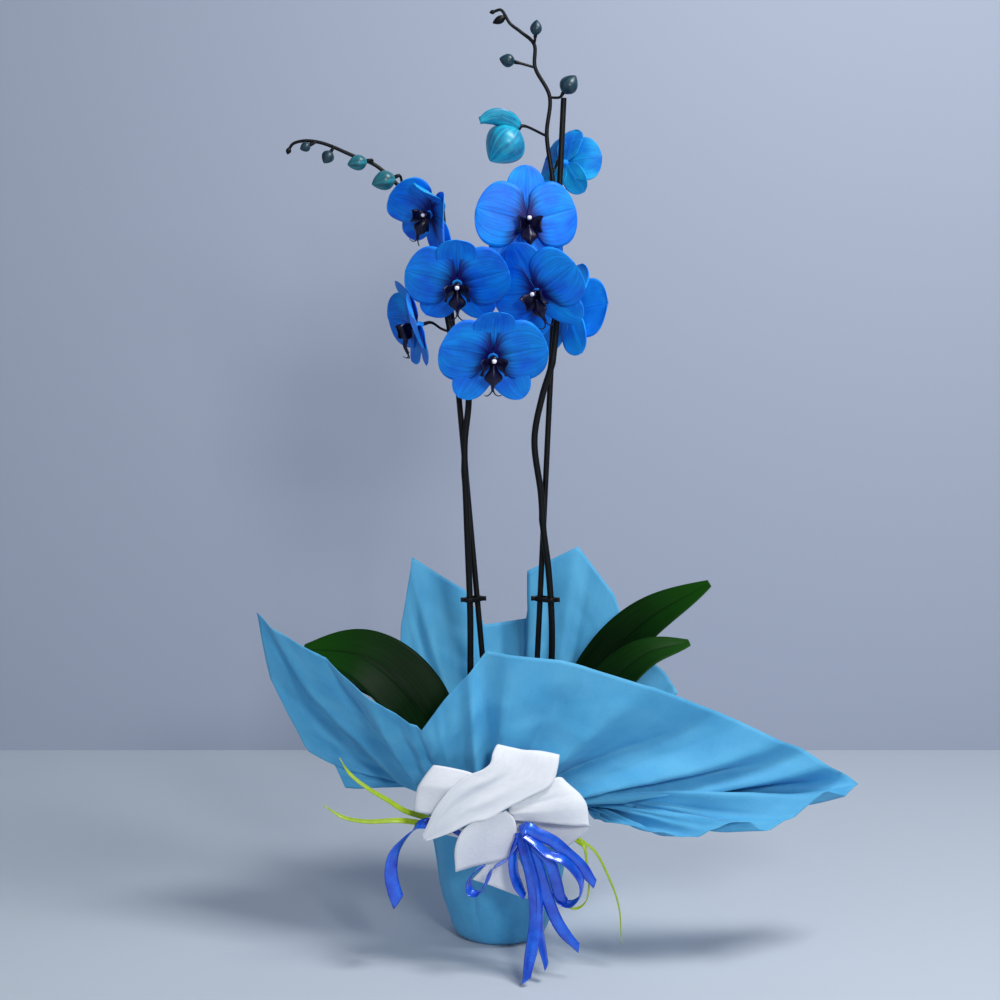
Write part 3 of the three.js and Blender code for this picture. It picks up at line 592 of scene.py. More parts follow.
def felt_group() -> bpy.types.NodeTree:
    """Pressed fibres with a grid of small dimples, as on non-woven sheet.

    Returns:
        The node group.
    """
    group = Group(Effect.FELT, "Vector", "Height", Scale=900.0)
    place = {"Vector": group.entry["Vector"], "Scale": group.entry["Scale"]}
    fibre = group.node("ShaderNodeTexNoise", Detail=6.0, Distortion=1.2, **place)
    dimple = group.node("ShaderNodeTexVoronoi", Randomness=0.25, **place)
    return group.give(group.math("MULTIPLY_ADD", dimple.outputs["Distance"], 0.5, fibre.outputs["Fac"]))


GROUPS = {Effect.MOTTLE: mottle_group(), Effect.STREAKS: streaks_group(), Effect.FELT: felt_group()}


class Paintbox(Wiring):
    """Builds one material's nodes."""

    def __init__(self, name: str, **constants: float) -> None:
        """Starts a material.

        Args:
            name: the material's name.
            constants: values of the shader's own sockets, with _ for a space.
        """
        self.material = bpy.data.materials.new(name)
        self.material.use_nodes = True
        super().__init__(self.material.node_tree)
        self.shader = self.nodes["Principled BSDF"]
        for key, value in constants.items():
            self.shader.inputs[key.replace("_", " ")].default_value = value

    def coordinates(self) -> bpy.types.NodeSocket:
        """The piece's object coordinates."""
        return self.node("ShaderNodeTexCoord").outputs["Object"]

    def uv(self) -> bpy.types.NodeSocket:
        """The piece's UV map.

        Returns:
            Its vector: across and along.
        """
        made = self.node("ShaderNodeUVMap")
        made.uv_map = "UVMap"
        return made.outputs["UV"]

    def effect(self, effect: Effect, **inputs: Feed) -> bpy.types.NodeSocket:
        """Places a node group.

        Args:
            effect: which one.
            inputs: what feeds each of its inputs.

        Returns:
            Its output.
        """
        made = self.node("ShaderNodeGroup")
        made.node_tree = GROUPS[effect]
        for key, value in inputs.items():
            self.feed(value, made.inputs[key])
        return made.outputs[0]

    def blend(self, factor: Feed, first: Feed, second: Feed) -> bpy.types.NodeSocket:
        """Mixes two colours.

        Args:
            factor: the share of the second.
            first: the first colour.
            second: the second colour.

        Returns:
            The mixed colour.
        """
        made = self.node("ShaderNodeMix")
        made.data_type = "RGBA"
        for index, value in ((0, factor), (6, first), (7, second)):
            self.feed(value, made.inputs[index])
        return made.outputs[2]

    def between(self, value: Feed, low: float, high: float) -> bpy.types.NodeSocket:
        """A smooth step.

        Args:
            value: what is measured.
            low: where the step is 0.
            high: where it is 1.

        Returns:
            The step's value.
        """
        made = self.node("ShaderNodeMapRange")
        made.interpolation_type = "SMOOTHSTEP"
        for name, number in (("Value", value), ("From Min", low), ("From Max", high)):
            self.feed(number, made.inputs[name])
        return made.outputs["Result"]

    def from_middle(self, across: bpy.types.NodeSocket) -> bpy.types.NodeSocket:
        """How far a place lies from the middle of its piece's width."""
        return self.math("ABSOLUTE", self.math("SUBTRACT", across, 0.5))

    def rough(self, mask: bpy.types.NodeSocket, low: float, high: float) -> None:
        """Drives roughness between two values by a mask.

        Args:
            mask: the mask.
            low: roughness where the mask is 0.
            high: roughness where it is 1.
        """
        made = self.node("ShaderNodeMapRange", Value=mask, To_Min=low, To_Max=high)
        self.links.new(made.outputs["Result"], self.shader.inputs["Roughness"])

    def bump(self, height: bpy.types.NodeSocket, strength: float, distance: float) -> None:
        """Gives the shader a relief.

        Args:
            height: its height.
            strength: its share.
            distance: how deep it is, in millimetres.
        """
        made = self.node("ShaderNodeBump", Height=height, Strength=strength, Distance=distance * MM)
        self.links.new(made.outputs["Normal"], self.shader.inputs["Normal"])

    def finish(self, colour: bpy.types.NodeSocket) -> bpy.types.Material:
        """Sets the colour and returns the material."""
        self.links.new(colour, self.shader.inputs["Base Color"])
        return self.material


# Finishes


@dataclass(frozen=True)
class PetalFinish:
    """Dyed petal tissue: a dark throat, veins that run to the edge, soft clouds of lighter blue and painted
    shade along the middle crease.
    """

    name: str
    throat: Colour
    body: Colour
    light: Colour
    throat_reach: float = 0.35

    def build(self) -> bpy.types.Material:
        """Lays the finish out as nodes.

        Returns:
            The material.
        """
        box = Paintbox(self.name, Specular_IOR_Level=0.25)
        uv = box.uv()
        across, along = box.split(uv)
        veins = box.effect(Effect.STREAKS, UV=uv, Lines=26.0, Wander=0.35)
        clouds = box.effect(Effect.MOTTLE, Vector=box.coordinates(), Scale=45.0, Contrast=2.4)
        tone = box.blend(clouds, self.body, self.light)
        dark = box.blend(0.75, tone, self.throat)
        veined = box.blend(box.between(veins, 0.62, 0.42), tone, dark)
        tone = box.blend(0.35, tone, veined)
        middle = box.from_middle(across)
        # Painted shade: a darker line along the middle crease of each blade.
        crease = box.between(middle, 0.035, 0.0)
        tone = box.blend(box.math("MULTIPLY", crease, 0.3), tone, dark)
        ragged = box.math("MULTIPLY_ADD", veins, 0.16, along)
        reach = box.between(ragged, self.throat_reach + 0.16, self.throat_reach - 0.08)
        box.rough(clouds, 0.42, 0.6)
        box.bump(box.math("SUBTRACT", veins, crease), 0.35, 0.5)
        return box.finish(box.blend(reach, tone, self.throat))


@dataclass(frozen=True)
class WaxyFinish:
    """Smooth plant tissue, such as lip, cap or bud: two tones in streaks along it and a soft gloss."""

    name: str
    dark: Colour
    light: Colour
    lines: float = 14.0
    gloss: float = 0.3
    tip: float = 0.0
    shine: float = 0.5

    def build(self) -> bpy.types.Material:
        """Lays the finish out as nodes.

        Returns:
            The material.
        """
        coat = 0.3 * self.shine
        box = Paintbox(self.name, Specular_IOR_Level=self.shine, Coat_Weight=coat, Coat_Roughness=0.2)
        uv = box.uv()
        _, along = box.split(uv)
        streaks = box.effect(Effect.STREAKS, UV=uv, Lines=self.lines, Wander=0.4)
        clouds = box.effect(Effect.MOTTLE, Vector=box.coordinates(), Scale=160.0, Contrast=1.6)
        lined = box.between(streaks, 0.35, 0.65)
        mask = box.math("MULTIPLY_ADD", lined, 0.6, box.math("MULTIPLY", clouds, 0.4))
        tipped = box.math("MULTIPLY_ADD", box.between(along, 0.45, 1.0), self.tip, mask)
        box.rough(clouds, self.gloss, self.gloss + 0.15)
        box.bump(streaks, 0.3, 0.25)
        return box.finish(box.blend(tipped, self.dark, self.light))


@dataclass(frozen=True)
class LeafFinish:
    """Thick leaf: dark green, with the groove at the midrib painted darker as shade, parallel veins and a
    waxy coat.
    """

    name: str
    dark: Colour
    light: Colour
    tip: Colour

    def build(self) -> bpy.types.Material:
        """Lays the finish out as nodes.

        Returns:
            The material.
        """
        box = Paintbox(self.name, Specular_IOR_Level=0.06, Coat_Weight=0.01, Coat_Roughness=0.3)
        uv = box.uv()
        across, along = box.split(uv)
        veins = box.effect(Effect.STREAKS, UV=uv, Lines=34.0, Wander=0.15)
        clouds = box.effect(Effect.MOTTLE, Vector=box.coordinates(), Scale=30.0, Contrast=2.2)
        middle = box.from_middle(across)
        rib = box.between(middle, 0.03, 0.008)
        lined = box.between(veins, 0.4, 0.62)
        mask = box.math("MULTIPLY_ADD", lined, 0.35, box.math("MULTIPLY", clouds, 0.5))
        tone = box.blend(mask, self.dark, self.light)
        tone = box.blend(box.math("MULTIPLY", box.between(along, 0.55, 1.0), 0.6), tone, self.tip)
        # Painted shade: the midrib groove is darkened towards the dark green.
        tone = box.blend(box.math("MULTIPLY", rib, 0.6), tone, self.dark)
        box.rough(clouds, 0.42, 0.58)
        box.bump(box.math("SUBTRACT", veins, rib), 0.3, 0.4)
        return box.finish(tone)


@dataclass(frozen=True)
class FeltFinish:
    """Non-woven sheet: pressed fibres and slight clouding."""

    name: str
    tone: Colour
    shade: Colour
    scale: float = 900.0

    def build(self) -> bpy.types.Material:
        """Lays the finish out as nodes.

        Returns:
            The material.
        """
        box = Paintbox(self.name, Sheen_Weight=0.12, Sheen_Roughness=0.4, Specular_IOR_Level=0.3)
        uv = box.uv()
        fibres = box.effect(Effect.FELT, Vector=uv, Scale=self.scale)
        clouds = box.effect(Effect.MOTTLE, Vector=uv, Scale=22.0, Contrast=1.8)
        fine = box.effect(Effect.MOTTLE, Vector=uv, Scale=self.scale * 0.4, Contrast=1.2)
        mask = box.math("MULTIPLY_ADD", fine, 0.3, box.math("MULTIPLY", clouds, 0.7))
        box.rough(fine, 0.55, 0.7)
        box.bump(fibres, 0.25, 0.15)
        return box.finish(box.blend(mask, self.shade, self.tone))


@dataclass(frozen=True)
class RibbonFinish:
    """Glossy poly ribbon with fine lines across it."""

    name: str
    deep: Colour
    bright: Colour

    def build(self) -> bpy.types.Material:
        """Lays the finish out as nodes.

        Returns:
            The material.
        """
        coat = {"Coat_Weight": 0.8, "Coat_Roughness": 0.14}
        box = Paintbox(self.name, Metallic=0.3, Specular_IOR_Level=0.8, **coat)
        uv = box.uv()
        across, along = box.split(uv)
        ribs = box.math("SINE", box.math("MULTIPLY", along, 900.0))
        clouds = box.effect(Effect.MOTTLE, Vector=box.coordinates(), Scale=70.0, Contrast=2.0)
        edge = box.between(box.from_middle(across), 0.38, 0.5)
        tone = box.blend(clouds, self.deep, self.bright)
        box.rough(clouds, 0.2, 0.32)
        box.bump(ribs, 0.08, 0.05)
        return box.finish(box.blend(box.math("MULTIPLY", edge, 0.4), tone, self.deep))


@dataclass(frozen=True)
class MouldedFinish:
    """Moulded plastic or painted cane: one tone with scuffs and a fine grain."""

    name: str
    tone: Colour
    scuff: Colour
    gloss: float = 0.4
    grain: float = 900.0

    def build(self) -> bpy.types.Material:
        """Lays the finish out as nodes.

        Returns:
            The material.
        """
        box = Paintbox(self.name, Specular_IOR_Level=0.25)
        place = box.coordinates()
        clouds = box.effect(Effect.MOTTLE, Vector=place, Scale=60.0, Contrast=2.6)
        grain = box.effect(Effect.MOTTLE, Vector=place, Scale=self.grain, Contrast=1.5)
        box.rough(clouds, self.gloss, self.gloss + 0.2)
        box.bump(grain, 0.3, 0.15)
        return box.finish(box.blend(box.math("MULTIPLY", clouds, 0.5), self.tone, self.scuff))


@dataclass(frozen=True)
class RoughFinish:
    """Bark, root or dry tissue: cracked clouds of two tones."""

    name: str
    dark: Colour
    light: Colour
    scale: float = 260.0

    def build(self) -> bpy.types.Material:
        """Lays the finish out as nodes.

        Returns:
            The material.
        """
        box = Paintbox(self.name, Specular_IOR_Level=0.2)
        place = box.coordinates()
        clouds = box.effect(Effect.MOTTLE, Vector=place, Scale=self.scale, Contrast=2.5)
        broad = box.effect(Effect.MOTTLE, Vector=place, Scale=self.scale * 0.2, Contrast=2.0)
        box.rough(clouds, 0.75, 0.95)
        box.bump(clouds, 0.6, 0.8)
        mask = box.math("MULTIPLY_ADD", clouds, 0.5, box.math("MULTIPLY", broad, 0.5))
        return box.finish(box.blend(mask, self.dark, self.light))


class Palette:
    """Every finish of the plant and its wrapping, built once."""

    def __init__(self) -> None:
        """Builds the materials."""
        throat = linear(6, 4, 96)
        deep, azure = linear(6, 98, 238), linear(4, 156, 255)
        back, back_light = linear(10, 120, 236), linear(24, 172, 252)
        # Painted shade: a darker, greener copy of the petals' reverse for the blooms that stand in shadow.
        teal = (linear(4, 70, 160), linear(4, 104, 206), linear(20, 180, 236))
        self.petal = PetalFinish("petal_front", throat, deep, azure).build()
        self.petal_back = PetalFinish("petal_reverse", deep, back, back_light, 0.1).build()
        self.petal_shade = PetalFinish("petal_reverse_teal", *teal, 0.1).build()
        lip_tones = (linear(2, 0, 14), linear(8, 4, 58))
        self.lip = WaxyFinish("lip", *lip_tones, 10.0, 0.3, shine=0.3).build()
        cap_tones = (linear(220, 220, 252), linear(255, 255, 255))
        self.cap = WaxyFinish("anther_cap", *cap_tones, 4.0, 0.3).build()
        bud_tones = (linear(10, 58, 72), linear(34, 138, 152))
        self.bud = WaxyFinish("bud_teal", *bud_tones, 16.0, 0.34, -0.2).build()
        dark_tones = (linear(6, 26, 42), linear(22, 70, 84))
        self.bud_dark = WaxyFinish("bud_dark", *dark_tones, 12.0, 0.34, -0.2).build()
        open_tones = (linear(2, 74, 140), linear(28, 186, 212))
        self.bud_open = WaxyFinish("bud_opening", *open_tones, 20.0, 0.36, 0.2).build()
        stem_tones = (linear(2, 3, 5), linear(10, 14, 15))
        self.stem = WaxyFinish("stem", *stem_tones, 6.0, 0.42, shine=0.18).build()
        upper = (linear(0, 14, 1), linear(5, 38, 5), linear(24, 78, 10))
        self.leaf = LeafFinish("leaf_upper", *upper).build()
        lower = (linear(10, 40, 10), linear(26, 70, 20), linear(48, 96, 28))
        self.leaf_back = LeafFinish("leaf_lower", *lower).build()
        grass_tones = (linear(104, 146, 4), linear(182, 206, 20))
        self.grass = WaxyFinish("grass", *grass_tones, 8.0, 0.4, 0.1).build()
        self.root = RoughFinish("root", linear(60, 68, 36), linear(130, 138, 94), 500.0).build()
        self.bark = RoughFinish("bark", linear(24, 14, 8), linear(86, 56, 32), 300.0).build()
        self.pot = MouldedFinish("pot", linear(30, 20, 14), linear(56, 42, 32), 0.42).build()
        self.stake = MouldedFinish("stake", linear(2, 3, 4), linear(12, 13, 15), 0.4).build()
        self.clip = MouldedFinish("clip", linear(3, 3, 4), linear(14, 15, 18), 0.24).build()
        self.wrap = FeltFinish("wrap", linear(98, 184, 224), linear(56, 146, 198)).build()
        self.bow = FeltFinish("bow", linear(238, 241, 245), linear(222, 227, 233), 1100.0).build()
        self.ribbon = RibbonFinish("ribbon", linear(0, 40, 184), linear(0, 112, 248)).build()


# Blooms


@dataclass(frozen=True)
class Blade:
    """A petal or sepal: its direction in degrees, length, width and how far it stands forward."""

    angle: float
    length: float
    width: float
    lift: float


@dataclass(frozen=True)
class Bloom:
    """One open flower: where its cap lies, where it looks and how its blades bend."""

    name: str
    cap: Triple
    face: Triple
    bends: Triple
    scale: float
    roll: float = 0.0
    # True gives the reverse of its blades the painted-shade copy of the reverse finish.
    shaded: bool = False


SEPALS = (Blade(90, 46, 33, -1), Blade(-53, 43, 30, -1), Blade(-127, 43, 30, -1))
PETALS = (Blade(15, 43, 54, 2), Blade(165, 43, 54, 2))
BELLY, OVAL_POWER, CLAW, FLARE = 0.55, 2.2, 0.35, 3.2
CAP_Y, CAP_Z, CAP_RADIUS = 2.4, 12.2, 1.8
# The heart's profile, and the middle lines of the lip's parts on its right side
HEART = ((0, -8), (1.6, -8), (2.2, -7), (4.2, -2), (4.6, 1.5), (3.6, 2.8), (0, 3))
COLUMN = ((0, 0, 3.45), (0, 0.3, 6), (0, 1.6, 9.2), (0, 2.2, 10.6))
TONGUE = ((0, -1, 6), (0, -7, 11.5), (0, -15, 14.8), (0, -24, 12.8))
SIDE_LOBE = ((1.5, -1, 6.5), (7, -3, 10), (9.5, -3, 14.5), (8.4, -2.8, 16.4))
TENDRIL = ((0.2, -22.8, 13), (1.6, -26.4, 12.4), (4, -28, 13.4), (6.6, -26, 16))
CALLUS = ((0, -3.4, 7.2), (0, -4.4, 9.4), (0, -5.4, 10.2))
BLOOMS = (
    Bloom("bloom_right_1", (24.4, -38, 626.6), (0.18, -1, 0.04), (-0.16, -0.1, -0.16), 1.02),
    Bloom("bloom_right_2", (26.4, -49, 563.4), (-0.36, -0.86, -0.34), (-0.1, 0.2, 0), 1, roll=20),
    Bloom("bloom_right_3", (69, 17, 546), (0.78, 0.58, -0.25), (0.25, 0.2, 0.1), 0.98),
    Bloom("bloom_right_4", (62, 37, 675), (0.55, 0.79, -0.25), (0.6, 0.5, 0.4), 0.74, shaded=True),
    Bloom("bloom_left_1", (-35.2, -62, 568.5), (0, -0.84, -0.54), (-0.12, 0.42, -0.15), 1.02),
    Bloom("bloom_left_2", (-4.6, -76, 509), (0.1, -0.88, -0.47), (0.15, 0.5, 0.3), 1.06),
    Bloom("bloom_left_3", (-64.1, -32, 628.8), (-0.62, -0.72, -0.28), (1.15, 1.35, 0), 0.9, -30, True),
    Bloom("bloom_left_4", (-83, -4, 536.5), (-0.93, -0.3, -0.2), (0.6, 0.5, 0.2), 0.92),
)


def mirrored(points: Sequence[Triple], hand: int) -> list[Triple]:
    """Points on the right side, or their mirror image where hand is -1."""
    return [(hand * x, y, z) for x, y, z in points]


@dataclass
class Blossom:
    """Builds one bloom as three pieces: perianth, lip and anther cap."""

    bloom: Bloom
    palette: Palette
    rows: int = 26
    columns: int = 18
    tissue: float = 0.7
    ruffle: float = 0.9
    crease_depth: float = 0.7
    crease_width: float = 1.8
    tongue_rows: int = 22
    lobe_rows: int = 14
    tendril_rings: int = 14
    tendril_radius: float = 0.7

    def frame(self) -> Matrix:
        """The turn, size and place of the bloom on the plant.

        Returns:
            What takes its own frame to the plant's, in metres.
        """
        bloom = self.bloom
        out = Vector(bloom.face).normalized()
        right = UP.cross(out).normalized()
        up = out.cross(right)
        turn = Matrix((right, up, out)).transposed()
        turn = turn @ Matrix.Rotation(math.radians(bloom.roll), 3, "Z")
        centre = Vector(bloom.cap) - turn @ Vector((0, CAP_Y, CAP_Z)) * bloom.scale
        return Matrix.Translation(centre * MM) @ (turn * bloom.scale).to_4x4()

    @staticmethod
    def breadth(t: float) -> float:
        """The breadth of a blade: an oval on a narrower claw.

        Args:
            t: the share of its length.

        Returns:
            The breadth there as a share of the widest.
        """
        reach = BELLY if t < BELLY else 1 - BELLY
        oval = math.sqrt(max(0.0, 1 - (abs(t - BELLY) / reach) ** OVAL_POWER))
        return oval * min(1.0, CLAW + FLARE * t)

    def blade(self, name: str, form: Blade, bend: float) -> bpy.types.Object:
        """One petal or sepal.

        Args:
            name: the blade's name.
            form: its outline.
            bend: how far it curls to the viewer, in radians.

        Returns:
            The closed blade.
        """
        out_x, out_y = math.cos(math.radians(form.angle)), math.sin(math.radians(form.angle))
        turn = 0.01 if abs(bend) < 0.01 else bend
        seed = form.angle + self.bloom.cap[0]

        def point(u: float, v: float) -> Vector:
            """The blade before it gets its wall.

            Args:
                u: the share along it.
                v: the share across it.

            Returns:
                The place in millimetres.
            """
            t = mix(0.03, 1.0, 0.5 - 0.5 * math.cos(math.pi * u))
            across = (v - 0.5) * form.width * self.breadth(t)
            along = form.length * math.sin(turn * t) / turn
            rise = form.length * (1 - math.cos(turn * t)) / turn
            edge = abs(2 * v - 1) ** 3
            ruffle = self.ruffle * edge * math.sin(9 * t + seed) * t + 0.5 * math.sin(t * 7 + v * 3) * t
            dent = math.exp(-((across / self.crease_width) ** 2))
            crease = -self.crease_depth * dent * math.sin(math.pi * t)
            height = form.lift + rise - 0.002 * across * across + ruffle + crease
            return Vector((out_x * along - out_y * across, out_y * along + out_x * across, height))

        piece = shaped_grid(name, point, self.rows, self.columns)
        back = self.palette.petal_shade if self.bloom.shaded else self.palette.petal_back
        paint(piece, back, self.palette.petal)
        return thicken(piece, self.tissue, back_slot=1)

    def perianth(self) -> bpy.types.Object:
        """Five blades on the short heart that the pedicel meets.

        Returns:
            The perianth in its own frame.
        """
        name = self.bloom.name
        petals, dorsal, lower = self.bloom.bends
        heart = paint(turned(name + "_heart", HEART, 20), self.palette.petal_back)
        blades = [
            self.blade(f"{name}_sepal_{i}", form, bend)
            for i, (form, bend) in enumerate(zip(SEPALS, (dorsal, lower, lower)))
        ]
        blades += [self.blade(f"{name}_petal_{i}", form, petals) for i, form in enumerate(PETALS)]
        return joined(name + "_perianth", [*blades, heart])

    @staticmethod
    def lobe_width(u: float) -> float:
        """The breadth of a side lobe at a share of its length."""
        return 5 + 9 * math.sin(math.pi * (0.06 + 0.7 * u))

    @staticmethod
    def tongue_width(u: float) -> float:
        """The breadth of the middle lobe: an arrow head on a narrow claw."""
        return mix(5, 1.6, u) + 11 * math.exp(-(((u - 0.52) / 0.2) ** 2))

    def tendril_width(self, u: float) -> float:
        """The radius of a tendril at a share of its length."""
        return self.tendril_radius * (1 - 0.5 * u)

    def lip(self) -> bpy.types.Object:
        """Column, cupped side lobes, a callus, the arrow-shaped middle lobe and its two tendrils.

        Returns:
            The lip in its own frame.
        """
        name = self.bloom.name
        column = rod(name + "_column", Path(COLUMN), lambda u: 2.7 + 0.5 * math.sin(math.pi * u), 12, 14)
        tongue = strip(
            name + "_tongue",
            Path(TONGUE),
            [(1, 0, 0)],
            self.tongue_width,
            self.tongue_rows,
            10,
            lambda u, v: 1.6 * (2 * v - 1) ** 2 - 0.8 * math.exp(-(((v - 0.5) / 0.12) ** 2)),
        )
        lobes, tendrils = [], []
        for index, hand in enumerate((1, -1)):
            lobes.append(
                strip(
                    f"{name}_side_lobe_{index}",
                    Path(mirrored(SIDE_LOBE, hand)),
                    [(0, 1, 0.2)],
                    self.lobe_width,
                    self.lobe_rows,
                    8,
                    lambda u, v, hand=hand: hand * 1.5 * ((2 * v - 1) ** 2 - 0.4) * u,
                )
            )
        for index, hand in enumerate((1, -1)):
            route = Path(mirrored(TENDRIL, hand))
            tendrils.append(rod(f"{name}_tendril_{index}", route, self.tendril_width, self.tendril_rings, 6))
        callus = rod(name + "_callus", Path(CALLUS), lambda u: 1.5, 6, 8)
        for flat in (tongue, *lobes):
            thicken(flat, self.tissue)
        return joined(name + "_throat", [column, tongue, *lobes, *tendrils, callus])

    def cap(self) -> bpy.types.Object:
        """The white anther cap: a rounded bead with a shallow notch and a short beak.

        Returns:
            The cap in its own frame.
        """

        def point(u: float, v: float) -> Vector:
            """The bead at (from below to above, round).

            Args:
                u: the share from below to above.
                v: the share of a turn.

            Returns:
                The place in millimetres.
            """
            lean, turn = math.pi * u, 2 * math.pi * v
            notch = 1 - 0.16 * math.exp(-((math.sin(turn) - 1) ** 2) / 0.06) * math.sin(lean)
            beak = 1 + 0.22 * math.exp(-((math.sin(turn) + 1) ** 2) / 0.3) * math.sin(lean)
            reach = CAP_RADIUS * notch * beak
            x = reach * math.sin(lean) * math.cos(turn) * 1.02
            y = reach * math.sin(lean) * math.sin(turn) * 0.95
            return Vector((x, CAP_Y + y, CAP_Z - reach * math.cos(lean) * 0.9))

        return shaped_grid(self.bloom.name + "_anther", point, 14, 18, ring=True)

    def build(self) -> None:
        """Makes the three pieces and puts them in place."""
        name = self.bloom.name
        place = self.frame()
        slot = "petal_back" if name in ("bloom_right_3", "bloom_right_4") else "petal"
        perianth, lip, cap = self.perianth(), self.lip(), self.cap()
        paint(lip, self.palette.lip)
        paint(cap, self.palette.cap)
        for piece in (perianth, lip, cap):
            piece.data.transform(place)
            piece.data.update()
        settle(perianth, slot, name + "_petals")
        settle(lip, "lip", name + "_lip")
        settle(cap, "cap", name + "_cap")


# Buds


@dataclass(frozen=True)
class Bud:
    """A closed bud: its base, the way it points, its length and radius, and whether it is teal or dark."""

    name: str
    base: Triple
    axis: Triple
    length: float
    radius: float
    teal: bool


BUDS = (
    Bud("bud_left_1", (-88, -14, 661), (-0.9, -0.25, -0.3), 21, 8.2, True),
    Bud("bud_left_2", (-111, -19, 674), (-0.95, -0.2, -0.2), 17, 6.6, True),
    Bud("bud_left_3", (-141, -19, 682), (-0.5, -0.2, -0.85), 12, 5.4, False),
    Bud("bud_left_4", (-158, -22, 687), (-0.85, -0.2, -0.4), 9.5, 4.2, False),
    Bud("bud_right_1", (53, -1, 731.5), (0.6, -0.1, 0.8), 18, 8, False),
    Bud("bud_right_2", (12.6, -2, 757), (-0.97, -0.1, 0.2), 13.5, 5.7, False),
    Bud("bud_right_3", (29.6, -3, 778.5), (0.1, -0.1, 1), 13, 5.1, False),
)
OPENING = Bud("bud_right_opening", (15.4, -17, 700), (-0.66, -0.15, -0.73), 36, 17.5, True)
LIFTED_SEPAL = ((15, -19, 702), (6, -26, 707), (-5, -29, 709.5), (-17, -29, 706))
TIP_BUDS = {
    "left": (Bud("tip", (-176, -18, 685), (-0.3, 0, -1), 6, 2.4, False),),
    "right": (
        Bud("tip", (4.6, 0, 794.5), (-0.9, 0, -0.45), 12, 3.6, False),
        Bud("tip", (-4, 0, 798.8), (-1, 0, -0.2), 5, 2, False),
    ),
}


def bud_body(bud: Bud, rows: int = 20, columns: int = 24) -> bpy.types.Object:
    """A bud's closed body with the seams of its folded sepals.

    Args:
        bud: its form.
        rows: faces along it.
        columns: faces round it.

    Returns:
        The body in its place.
    """
    turn = UP.rotation_difference(Vector(bud.axis).normalized())

    def point(u: float, v: float) -> Vector:
        """The bud at (along, round).

        Args:
            u: the share along it.
            v: the share of a turn.

        Returns:
            The place in millimetres.
        """
        t = 0.5 - 0.5 * math.cos(math.pi * u)
        around = 2 * math.pi * v
        seam = 1 - 0.07 * math.exp(-((math.sin(1.5 * around) / 0.16) ** 2)) * math.sin(math.pi * t)
        reach = bud.radius * max(0.0, math.sin(math.pi * t**0.85)) ** 0.75 * seam
        spot = Vector((reach * math.cos(around), reach * math.sin(around), bud.length * t))
        return Vector(bud.base) + turn @ spot

    return shaped_grid(bud.name, point, rows, columns, ring=True)


@dataclass
class Buds:
    """All closed buds and the one that is opening."""

    palette: Palette
    ball_rows: int = 30
    ball_columns: int = 36
    sepal_rows: int = 18
    sepal_columns: int = 12
    sepal_wall: float = 0.8
    sepal_hollow: float = 2.2

    def sepal_width(self, u: float) -> float:
        """The breadth of the lifted sepal at a share of its length."""
        return 5 + 11 * math.sin(math.pi * (0.1 + 0.85 * u)) * (1 - ease(0.8, 1, u) * 0.6)

    def opening(self) -> bpy.types.Object:
        """A ball of folded petals with one sepal lifted over it.

        Returns:
            The opening bud in its place.
        """
        ball = bud_body(OPENING, self.ball_rows, self.ball_columns)
        lifted = strip(
            "lifted_sepal",
            Path(LIFTED_SEPAL),
            [(0, -0.5, 0.85)],
            self.sepal_width,
            self.sepal_rows,
            self.sepal_columns,
            lambda u, v: self.sepal_hollow * (1 - (2 * v - 1) ** 2),
        )
        return joined("opening_bud", [ball, thicken(lifted, self.sepal_wall)])

    def build(self) -> None:
        """Makes each bud and puts it in place."""
        for bud in BUDS:
            piece = bud_body(bud)
            piece.name = bud.name + "_body"
            paint(piece, self.palette.bud if bud.teal else self.palette.bud_dark)
            settle(piece, "bud_teal" if bud.teal else "bud_dark", bud.name)
        opening = paint(self.opening(), self.palette.bud_open)
        settle(opening, "bud_teal", OPENING.name)


# Spikes, stakes and clips


@dataclass(frozen=True)
class Spike:
    """A flower stem: its side and the points that it runs through."""

    side: str
    stem: tuple[Triple, ...]


SPIKES = (
    Spike(
        "left",
        (
            (2.4, -2, 117), (-2.5, -2.4, 119), (-9, -2.6, 129), (-19, -1, 160), (-25, 0, 205),
            (-26, 0, 288),
            (-29, 0, 374), (-30.5, 0, 434), (-27, 0, 477), (-33, 0, 507), (-42, 0, 531), (-47, 0, 558),
            (-53.7, 0, 601), (-63.6, -2, 630), (-78.7, -5, 647), (-104, -9, 670.6), (-123, -12, 678.6),
            (-149, -15, 689), (-164, -17, 690.6), (-173, -18, 688), (-176.7, -18, 683),
        ),
    ),
    Spike(
        "right",
        (
            (20, -2, 117), (24, -2.2, 119), (31, -2, 129), (38, -0.5, 160), (43, 0, 205),
            (45.4, 0, 268),
            (42.3, 0, 324), (37.6, 0, 361), (35.4, 0, 392), (29.7, 0, 439), (36.5, 0, 477),
            (44.6, 0, 505),
            (48.7, 0, 548), (48.5, 0, 609), (44.9, 0, 658), (39.5, 0, 697), (41.8, 0, 729),
            (29.5, 0, 753),
            (28.6, 0, 772), (17.6, 0, 782), (8.4, 0, 789), (0.8, 0, 800), (-5.5, 0, 798.5),
        ),
    ),
)
BLOOM_STALKS = {
    "bloom_right_1": ((48.5, 0, 606), (40, -8, 614)),
    "bloom_right_2": ((48.7, 0, 550), (46, -12, 560)),
    "bloom_right_3": ((48.7, 0, 538), (53, -3, 546)),
    "bloom_right_4": ((45.2, 0, 656), (43, 10, 662), (47, 19, 670)),
    "bloom_left_1": ((-47.6, 0, 562), (-44, -16, 576)),
    "bloom_left_2": ((-31.4, 0, 500), (-23, -20, 510)),
    "bloom_left_3": ((-53.6, 0, 601), (-48, -5, 616)),
    "bloom_left_4": ((-41.8, 0, 531), (-50, -2, 534)),
}
